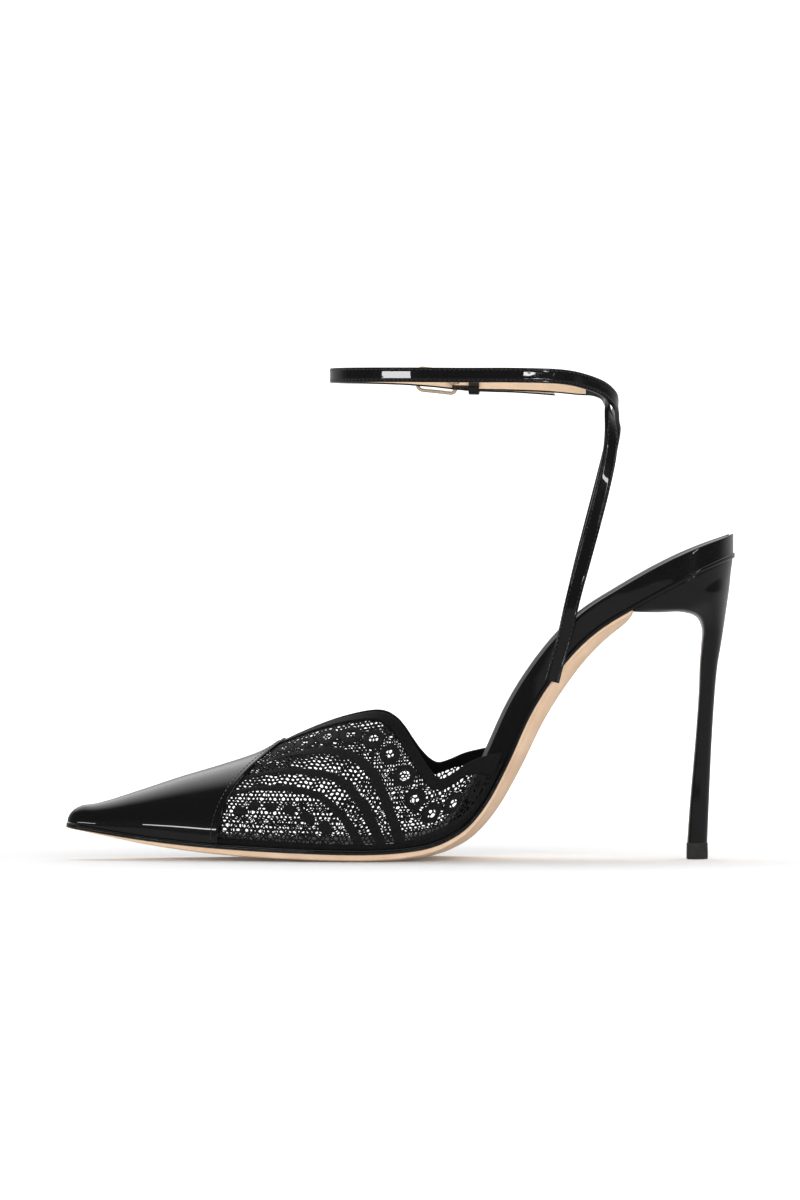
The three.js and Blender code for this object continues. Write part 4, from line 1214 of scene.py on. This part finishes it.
# the turn at a distance up the wall, read back from the table
def turnAt(length, up, hand):
    found = []
    for part in np.array_split(np.arange(len(length)), max(1, len(length) // 20000)):
        row = wallRow(length[part], hand)
        want = np.clip(up[part], 0, row[:, -1] - 1e-4)
        j = np.clip((row <= want[:, None]).sum(1) - 1, 0, row.shape[1] - 2)
        low, high = valueAt(row, j), valueAt(row, j + 1)
        found.append((j + (want - low) / (high - low)) * turnStep)
    return np.concatenate(found)


# distance up the wall to the lace's top edge
def topUp(length, hand):
    row = wallRow(length, hand)
    at = topTurn(length, hand) / turnStep
    j = np.clip(at.astype(int), 0, row.shape[1] - 2)
    return mix(valueAt(row, j), valueAt(row, j + 1), at - j)


# flat lace places to the wall; a place under its foot goes straight down from there
def onWall(length, up, grow, hand):
    shape = np.broadcast_shapes(np.shape(length), np.shape(up), np.shape(grow))
    length, up, grow = (np.broadcast_to(v, shape).ravel().astype(float) for v in (length, up, grow))
    points = skin(length, hand, turnAt(length, up, hand), grow)
    points[:, 2] += np.minimum(up, 0)
    return points.reshape(*shape, 3)


# even steps along a cubic through rows of values; the first two columns are the flat place
def smoothPath(rows, step):
    rows = np.asarray(rows, float)
    fine = through(np.arange(len(rows)), rows, np.linspace(0, len(rows) - 1, 60 * len(rows)))
    run = runAlong(fine[:, :2])
    at = np.linspace(0, run[-1], max(3, int(run[-1] / step)))
    return np.stack([np.interp(at, run, fine[:, k]) for k in range(fine.shape[1])], -1), at


# which flat places a closed outline holds, by counting its crossings to one side
def insideOutline(outline, x, y):
    held = np.zeros(x.shape, bool)
    for (x0, y0), (x1, y1) in zip(outline, np.roll(outline, -1, 0)):
        if y0 != y1:
            held ^= ((y0 > y) != (y1 > y)) & (x < (x1 - x0) * (y - y0) / (y1 - y0) + x0)
    return held


# the area under an arc, as a closed outline
def arcOutline(name, hand):
    path, _ = smoothPath(sidePattern(arcBands[name], hand), 1.0)
    corner = [(path[-1, 0], -5), (30, -5), (30, path[0, 1] - 6)]
    return np.concatenate([path[:, :2], corner])


# how far a flat place lies inside a band, a ring or a dot: above 0 it is covered
def coverDepth(x, y, hand):
    depth = np.full(x.shape, -9.0)
    for rows in arcBands.values():
        path, _ = smoothPath(sidePattern(rows, hand), 0.7)
        gap = np.hypot(x[:, None] - path[None, :, 0], y[:, None] - path[None, :, 1])
        depth = np.maximum(depth, (path[None, :, 2] - gap).max(1))
    for cx, cy, radius, half in sidePattern(ringRows, hand):
        depth = np.maximum(depth, half - np.abs(np.hypot(x - cx, y - cy) - radius))
    for cx, cy, a, b, slope in sidePattern(dotRows, hand):
        u, v = (x - cx) + (y - cy) * slope, (y - cy) - (x - cx) * slope
        depth = np.maximum(depth, (1 - np.hypot(u / a, v / b)) * b)
    return depth


# how far a flat place lies behind the cap's edge
def fromCap(x, y, hand):
    return x - capEdge(turnAt(x, y, hand))


hexRow = 0.866  # the rows of a six-cornered net lie this share of its pitch apart


# centres of a six-cornered net, at a pitch, inside the lace's outline
def netCentres(pitchLength, hand, coarse):
    rows = np.arange(0, lace["netTop"], pitchLength * hexRow)
    columns = np.arange(lace["from"], last["wingEnd"], pitchLength)
    y = np.repeat(rows, len(columns))
    x = (columns[None, :] + (np.arange(len(rows)) % 2)[:, None] * pitchLength / 2).ravel()
    inBands = insideOutline(arcOutline("outerArc", hand), x, y)
    inBands &= ~insideOutline(arcOutline("innerArc", hand), x, y)
    keep = inBands if coarse else ~inBands
    keep &= (x < last["wingEnd"] - lace["endGap"]) & (y > lace["netFoot"])
    keep &= y < topUp(x, hand) - lace["tapeWidth"] + lace["underTape"]
    keep &= fromCap(x, y, hand) > -lace["tuck"]
    keep &= coverDepth(x, y, hand) < lace["underMotif"] * pitchLength
    if hand > 0:  # the outer rings stay open, so that the inner ones read clearly against them
        for cx, cy, radius, _ in sidePattern(ringRows, hand):
            keep &= np.hypot(x - cx, y - cy) > radius
    return x[keep], y[keep]


# the sum of sines of a place that a table gives
def sineSum(rows, x, y):
    return sum(size * np.sin(along * x + up * y + start) for along, up, start, size in rows)


# the net: each cell is a six-cornered ring with walls, between shared corners that wander by sines
def netCells(pitchLength, hand, coarse):
    x, y = netCentres(pitchLength, hand, coarse)
    turn = np.radians(30 + 60 * np.arange(6))
    radius = pitchLength / math.sqrt(3)
    cx, cy = x[:, None] + radius * np.cos(turn), y[:, None] + radius * np.sin(turn)
    reach = lace["jitter"] * pitchLength
    cx, cy = cx + reach * sineSum(wanderAlong, cx, cy), cy + reach * sineSum(wanderUp, cx, cy)
    mx, my = cx.mean(1, keepdims=True), cy.mean(1, keepdims=True)
    share = lace["holeShare"] + lace["holeChange"] * np.sin(5.9 * mx + 9.1 * my)
    hx, hy = mix(mx, cx, share), mix(my, cy, share)
    px = np.concatenate([cx, hx, cx, hx], 1)
    py = np.concatenate([cy, hy, cy, hy], 1)
    high, low, edge = lace["netHigh"], lace["netLow"], lace["netEdge"]
    grow = np.repeat([high - edge, high, low + edge, low], 6)
    points = onWall(px, py, grow[None, :], hand)
    k, n = np.arange(6), (np.arange(6) + 1) % 6
    cell = np.concatenate([
        np.stack([k, n, 6 + n, 6 + k], -1),
        np.stack([6 + k, 6 + n, 18 + n, 18 + k], -1),
        np.stack([18 + k, 18 + n, 12 + n, 12 + k], -1),
    ])
    faces = (cell[None] + 24 * np.arange(len(x))[:, None, None]).reshape(-1, 4)
    return points.reshape(-1, 3), faces, np.stack([px, py], -1).reshape(-1, 2)


# several sets of points, faces and surface places in one
def joined(parts):
    starts = np.cumsum([0] + [len(p[0]) for p in parts[:-1]])
    points = np.concatenate([p[0] for p in parts])
    faces = sum(([[int(v) + s for v in face] for face in p[1]] for p, s in zip(parts, starts)), [])
    return points, faces, np.concatenate([p[2] for p in parts])


# a domed band along a flat path: the half width wavers like embroidery over a cord
def bandPart(rows, hand, waver=0.12, wave=1.45, rise=lace["motifRise"]):
    path, run = smoothPath(rows, 0.45)
    way = unit(np.gradient(path[:, :2], axis=0))
    side = np.stack([-way[:, 1], way[:, 0]], -1)
    half = path[:, 2] + waver * np.abs(np.sin(np.pi * run / wave))
    turn = np.linspace(0, 2 * np.pi, 14, endpoint=False)
    across = np.cos(turn)[None, :] * half[:, None]
    dome = squared(np.sin(turn), lace["motifDome"])
    full = np.minimum(1, half[:, None] / lace["fullHalf"])
    grow = lace["motifLow"] + rise * (1 + dome[None, :]) / 2 * full
    x = path[:, :1] + side[:, :1] * across
    y = path[:, 1:2] + side[:, 1:] * across
    points, faces = loftFaces(onWall(x, y, grow, hand))
    uv = np.stack([np.broadcast_to(run[:, None], across.shape), across], -1)
    uv = np.concatenate([uv.reshape(-1, 2), uv[:1].mean(1), uv[-1:].mean(1)])
    return points, faces, uv


# a ring: a band carried round a circle
def ringPart(row, hand):
    cx, cy, radius, half = row
    turn = np.linspace(0, 2 * np.pi, 36, endpoint=False)[:, None]
    section = np.linspace(0, 2 * np.pi, 10, endpoint=False)[None, :]
    wide = half + 0.1 * np.abs(np.sin(5 * turn))
    reach = radius + np.cos(section) * wide
    grow = lace["motifLow"] + lace["motifRise"] * (1 + squared(np.sin(section), lace["motifDome"])) / 2
    points = onWall(cx + np.cos(turn) * reach, cy + np.sin(turn) * reach, grow, hand)
    faces = gridFaces(36, 10, closeRows=True, closeColumns=True)
    uv = np.stack(np.broadcast_arrays(turn * radius, np.cos(section) * half), -1)
    return points.reshape(-1, 3), faces.tolist(), uv.reshape(-1, 2)


# a dot: an oval carried from its middle out over the dome and back under it
def dotPart(row, hand):
    cx, cy, a, b, slope = row
    turn = np.linspace(0, 2 * np.pi, 24, endpoint=False)[None, :]
    out = np.sin(np.linspace(0, np.pi, 9))[:, None]
    tall = np.cos(np.linspace(0, np.pi, 9))[:, None]
    u, v = a * out * np.cos(turn), b * out * np.sin(turn)
    tilt = math.atan(slope)
    x = cx + u * math.cos(tilt) - v * math.sin(tilt)
    y = cy + u * math.sin(tilt) + v * math.cos(tilt)
    grow = lace["motifLow"] + lace["motifRise"] * (1 + squared(tall, lace["dotDome"])) / 2 + 0 * turn
    points = onWall(x, y, grow, hand)
    faces = gridFaces(9, 24, closeColumns=True)
    return points.reshape(-1, 3), faces.tolist(), np.stack([u, v], -1).reshape(-1, 2)


cord = {
    "from": 44.0,
    "to": 98.0,
    "apart": 4.6,
    "rise": 12.0,
    "along": 1.15,
    "up": 0.85,
    "foot": 0.4,
    "backShift": 8.0,
    "capGap": 1.0,
    "stop": 94.0,
    "half": 0.2,
    "waver": 0.04,
    "wave": 1.0,
    "tall": 0.26,
}
# a length, and how high the cords may go there
cordTops = np.array([(50, 9.0), (63, 11.0), (75, 10.4), (83, 7.6), (90, 4.4), (96, 0.5)])


# thin crossing cords in the field under the dots
def crossingCords(hand):
    parts = []
    t = np.linspace(0, cord["rise"], 40)
    y = cord["foot"] + t * cord["up"]
    for way, shift in ((1, 0), (-1, cord["backShift"])):
        for start in np.arange(cord["from"], cord["to"], cord["apart"]):
            x = start + shift + way * t * cord["along"]
            keep = (y < np.interp(x, *cordTops.T)) & (x > capEdge(0) + cord["capGap"]) & (x < cord["stop"])
            if keep.sum() > 8:
                rows = np.stack([x, y, 0 * x + cord["half"]], -1)[keep][::4]
                parts.append(bandPart(rows, hand, cord["waver"], cord["wave"], cord["tall"]))
    return parts


# the net with its bands, rings and dots, and on the inner side the crossing cords
def makeLace(word, hand):
    parts = [netCells(lace["finePitch"], hand, False), netCells(lace["coarsePitch"], hand, True)]
    points, faces, uv = joined(parts)
    net = putMesh("laceNet" + word, points, faces, netThread, ["upper"], 30, uv)
    parts = [bandPart(sidePattern(rows, hand), hand) for rows in arcBands.values()]
    parts += [ringPart(row, hand) for row in sidePattern(ringRows, hand)]
    parts += [dotPart(row, hand) for row in sidePattern(dotRows, hand)]
    if hand < 0:
        parts += crossingCords(hand)
    points, faces, uv = joined(parts)
    putMesh("laceMotifs" + word, points, faces, motifThread, ["upper"], 60, uv)
    print("lace", word, len(net.data.polygons), "net faces")


makeLace("Inner", -1)
makeLace("Outer", 1)


# tape over the lace's edge: a rounded section carried along the edge, square to it in the flat
def tapeLoops(x, y, hand, width, low, high):
    way = unit(np.gradient(np.stack([x, y], -1), axis=0))
    inward = np.stack([way[:, 1], -way[:, 0]], -1)
    section = strapSection(low, high, width, lace["tapeEdge"])
    down = width / 2 - section[None, :, 1] - lace["tapeOver"]
    grow = np.broadcast_to(section[:, 0], (len(x), len(section)))
    run = runAlong(np.stack([x, y], -1))
    points = onWall(x[:, None] + inward[:, :1] * down, y[:, None] + inward[:, 1:] * down, grow, hand)
    uv = np.stack([np.broadcast_to(run[:, None], grow.shape), np.broadcast_to(down, grow.shape)], -1)
    return points, uv


# one tape along the lace's top edge, and one along its foot
def makeTapes(word, hand):
    start = toplineRows[0, 0] * last["shoeLength"] - toeLining["trim"]
    length = np.linspace(start, last["wingEnd"], 1500)
    path, _ = smoothPath(np.stack([length, topUp(length, hand)], -1)[::10], 0.5)
    low, high = lace["tapeLow"], lace["tapeHigh"]
    points, uv = tapeLoops(path[:, 0], path[:, 1], hand, lace["tapeWidth"], low, high)
    putLoft("edgeTape" + word, points, bindingTape, ["upper"], 50, uv)
    x = np.linspace(lace["from"], last["wingEnd"], 220)
    low, high = lace["footTapeLow"], lace["footTapeHigh"]
    points, uv = tapeLoops(x, 0 * x + lace["footTape"], hand, lace["footTapeWidth"], low, high)
    putLoft("footTape" + word, points, bindingTape, ["upper"], 50, uv)


makeTapes("Inner", -1)
makeTapes("Outer", 1)


# stitches along the cap's edge
def capStitches():
    across = np.linspace(-1, 1, 400)
    hand = np.where(across < 0, -1, 1)
    turn = (1 - np.abs(across)) * halfPi
    length = capEdge(turn) - toeCap["stitchIn"]
    grow = toeCap["gap"] + toeCap["thickness"]
    middle = skin(length, hand, turn, grow)
    above = skin(length, hand, turn, grow + 0.1)
    onward = unit(np.gradient(middle, axis=0))
    frames = framesOf(middle, onward, above - middle)
    stop = frames["run"][-1] - toeCap["stitchFrom"]
    points, faces = stitchMesh(frames, (0.0,), 0.0, toeCap["stitchFrom"], stop)
    putMesh("capStitches", points, faces, stitchThread)


capStitches()
print("tapes and cap stitches made")

# stage, lights and camera
stage = {
    "rings": (0.4, 1.2, 2.2),
    "reach": 3.2,
    "coveRadius": 0.8,
    "top": 1.3,
    "sides": 72,
    "colour": (0.9, 0.9, 0.9),
    "mottle": 0.985,
    "glow": 0.03,
    "farGlow": 0.7,
    "glowFrom": 0.03,
    "glowTo": 0.5,
}


# white paper that glows a little more away from the shoe
def makePaper():
    material, tree, shader = newMaterial("studioPaper", Roughness=0.9, **{"Specular IOR Level": 0.1})
    where = objectPlace(tree)
    low = tuple(stage["mottle"] * c for c in stage["colour"])
    tree.links.new(ramp(tree, noise(tree, where, 3, 2), low, stage["colour"]), shader.inputs["Base Color"])
    away = addNode(tree, "ShaderNodeVectorMath", {0: where}, operation="LENGTH").outputs["Value"]
    inputs = {"Value": away, "From Min": stage["glowFrom"], "From Max": stage["glowTo"]}
    inputs |= {"To Min": stage["glow"], "To Max": stage["farGlow"]}
    glow = addNode(tree, "ShaderNodeMapRange", inputs).outputs["Result"]
    shader.inputs["Emission Color"].default_value = (1, 1, 1, 1)
    tree.links.new(glow, shader.inputs["Emission Strength"])
    return material


# a round floor that bends up into a wall by a quarter circle, as a profile carried round the middle
def makeStage():
    turn = np.linspace(0, halfPi, 17)
    wall = stage["reach"] + stage["coveRadius"]
    out = np.concatenate([stage["rings"], stage["reach"] + stage["coveRadius"] * np.sin(turn), [wall]])
    flat = np.zeros(len(stage["rings"]))
    rise = np.concatenate([flat, stage["coveRadius"] * (1 - np.cos(turn)), [stage["top"]]])
    around = np.linspace(0, 2 * np.pi, stage["sides"], endpoint=False)
    x, y = out[:, None] * np.cos(around), out[:, None] * np.sin(around)
    loops = np.stack(np.broadcast_arrays(x, y, rise[:, None]), -1)
    ring = np.arange(stage["sides"])
    middle = np.full(stage["sides"], len(out) * stage["sides"])
    fan = np.stack([middle, ring, (ring + 1) % stage["sides"]], -1)
    faces = gridFaces(len(out), stage["sides"], closeColumns=True)[:, ::-1]
    mesh = bpy.data.meshes.new("studioFloor")
    mesh.from_pydata(loops.reshape(-1, 3).tolist() + [(0, 0, 0)], [], faces.tolist() + fan.tolist())
    mesh.polygons.foreach_set("use_smooth", np.ones(len(mesh.polygons), bool))
    mesh.materials.append(makePaper())
    floor = bpy.data.objects.new("studioFloor", mesh)
    bpy.context.scene.collection.objects.link(floor)
    floor.visible_glossy = False


makeStage()

lamps = {  # where, toward, width and height in metres, watts, and whether the patent mirrors it
    "front": ((0.0, -1.6, 0.5), (0.0, 0.0, 0.05), (1.4, 0.7), 9.5, False),
    "window": ((-0.76, -1.08, 0.2), (0.0, 0.0, 0.16), (0.5, 0.035), 0.95, True),
    "sill": ((0.75, -1.07, 0.188), (0.05, 0.0, 0.16), (0.42, 0.012), 0.35, True),
    "strip": ((0.85, -1.0, 0.8), (0.08, 0.0, 0.14), (0.06, 0.9), 2.6, True),
}


# an area lamp turned so that its face looks toward a place
def addLamp(name, at, to, size, power, mirrored):
    light = bpy.data.lights.new(name, "AREA")
    light.shape = "RECTANGLE"
    light.size, light.size_y = size
    light.energy = power
    lamp = bpy.data.objects.new(name, light)
    away = np.array(at, float) - np.array(to, float)
    distance = np.linalg.norm(away)
    lamp.location = at
    lamp.rotation_euler = (math.acos(away[2] / distance), 0, math.atan2(away[1], away[0]) + halfPi)
    lamp.visible_glossy = mirrored
    bpy.context.scene.collection.objects.link(lamp)


for name, values in lamps.items():
    addLamp(name, *values)

room = {
    "dark": 0.12,
    "above": 1.9,
    "aboveWithin": (0.68, 1.0),
    "softbox": (0.0, 0.5, 0.87),
    "behind": 0.3,
    "behindWithin": (0.1, 0.8),
    "below": 0.36,
    "belowWithin": (0.004, -0.02),
}


# a value that goes from 0 to bright between two bounds
def fade(tree, value, within, bright=1.0, kind="SMOOTHSTEP"):
    inputs = {"Value": value, "From Min": within[0], "From Max": within[1], "To Max": bright}
    return addNode(tree, "ShaderNodeMapRange", inputs, interpolation_type=kind).outputs["Result"]


# the studio round the shoe: dark in front, a soft overhead light a little behind, grey below
def makeRoom():
    world = bpy.data.worlds.new("studio")
    world.use_nodes = True
    tree = world.node_tree
    way = addNode(tree, "ShaderNodeTexCoord").outputs["Generated"]
    split = addNode(tree, "ShaderNodeSeparateXYZ", {"Vector": way})
    toward = addNode(tree, "ShaderNodeVectorMath", {0: way, 1: room["softbox"]}, operation="DOT_PRODUCT")
    above = fade(tree, toward.outputs["Value"], room["aboveWithin"], room["above"])
    behind = fade(tree, split.outputs["Y"], room["behindWithin"], room["behind"])
    lights = addNode(tree, "ShaderNodeMath", {0: above, 1: behind}, operation="ADD").outputs[0]
    shade = addNode(tree, "ShaderNodeMath", {0: lights, 1: room["dark"]}, operation="ADD").outputs[0]
    under = fade(tree, split.outputs["Z"], room["belowWithin"], kind="LINEAR")
    both = addNode(tree, "ShaderNodeMix", {"Factor": under, "A": shade, "B": room["below"]})
    background = tree.nodes["Background"]
    background.inputs["Color"].default_value = (1, 1, 1, 1)
    tree.links.new(both.outputs["Result"], background.inputs["Strength"])
    bpy.context.scene.world = world


makeRoom()
bpy.context.scene.view_settings.view_transform = "Standard"  # keeps the paper white and the patent black

view = {"at": (0.01267, -2.5, 0.08633), "lens": 225, "filmHeight": 36, "clip": (0.1, 30)}


# the camera looks straight along y, at the shoe's inner side
def makeCamera():
    camera = bpy.data.cameras.new("camera")
    camera.sensor_fit = "VERTICAL"
    camera.sensor_height = view["filmHeight"]
    camera.lens = view["lens"]
    camera.clip_start, camera.clip_end = view["clip"]
    holder = bpy.data.objects.new("camera", camera)
    holder.location = view["at"]
    holder.rotation_euler = (halfPi, 0, 0)
    bpy.context.scene.collection.objects.link(holder)
    bpy.context.scene.camera = holder


makeCamera()
print("stage, lights and camera made")
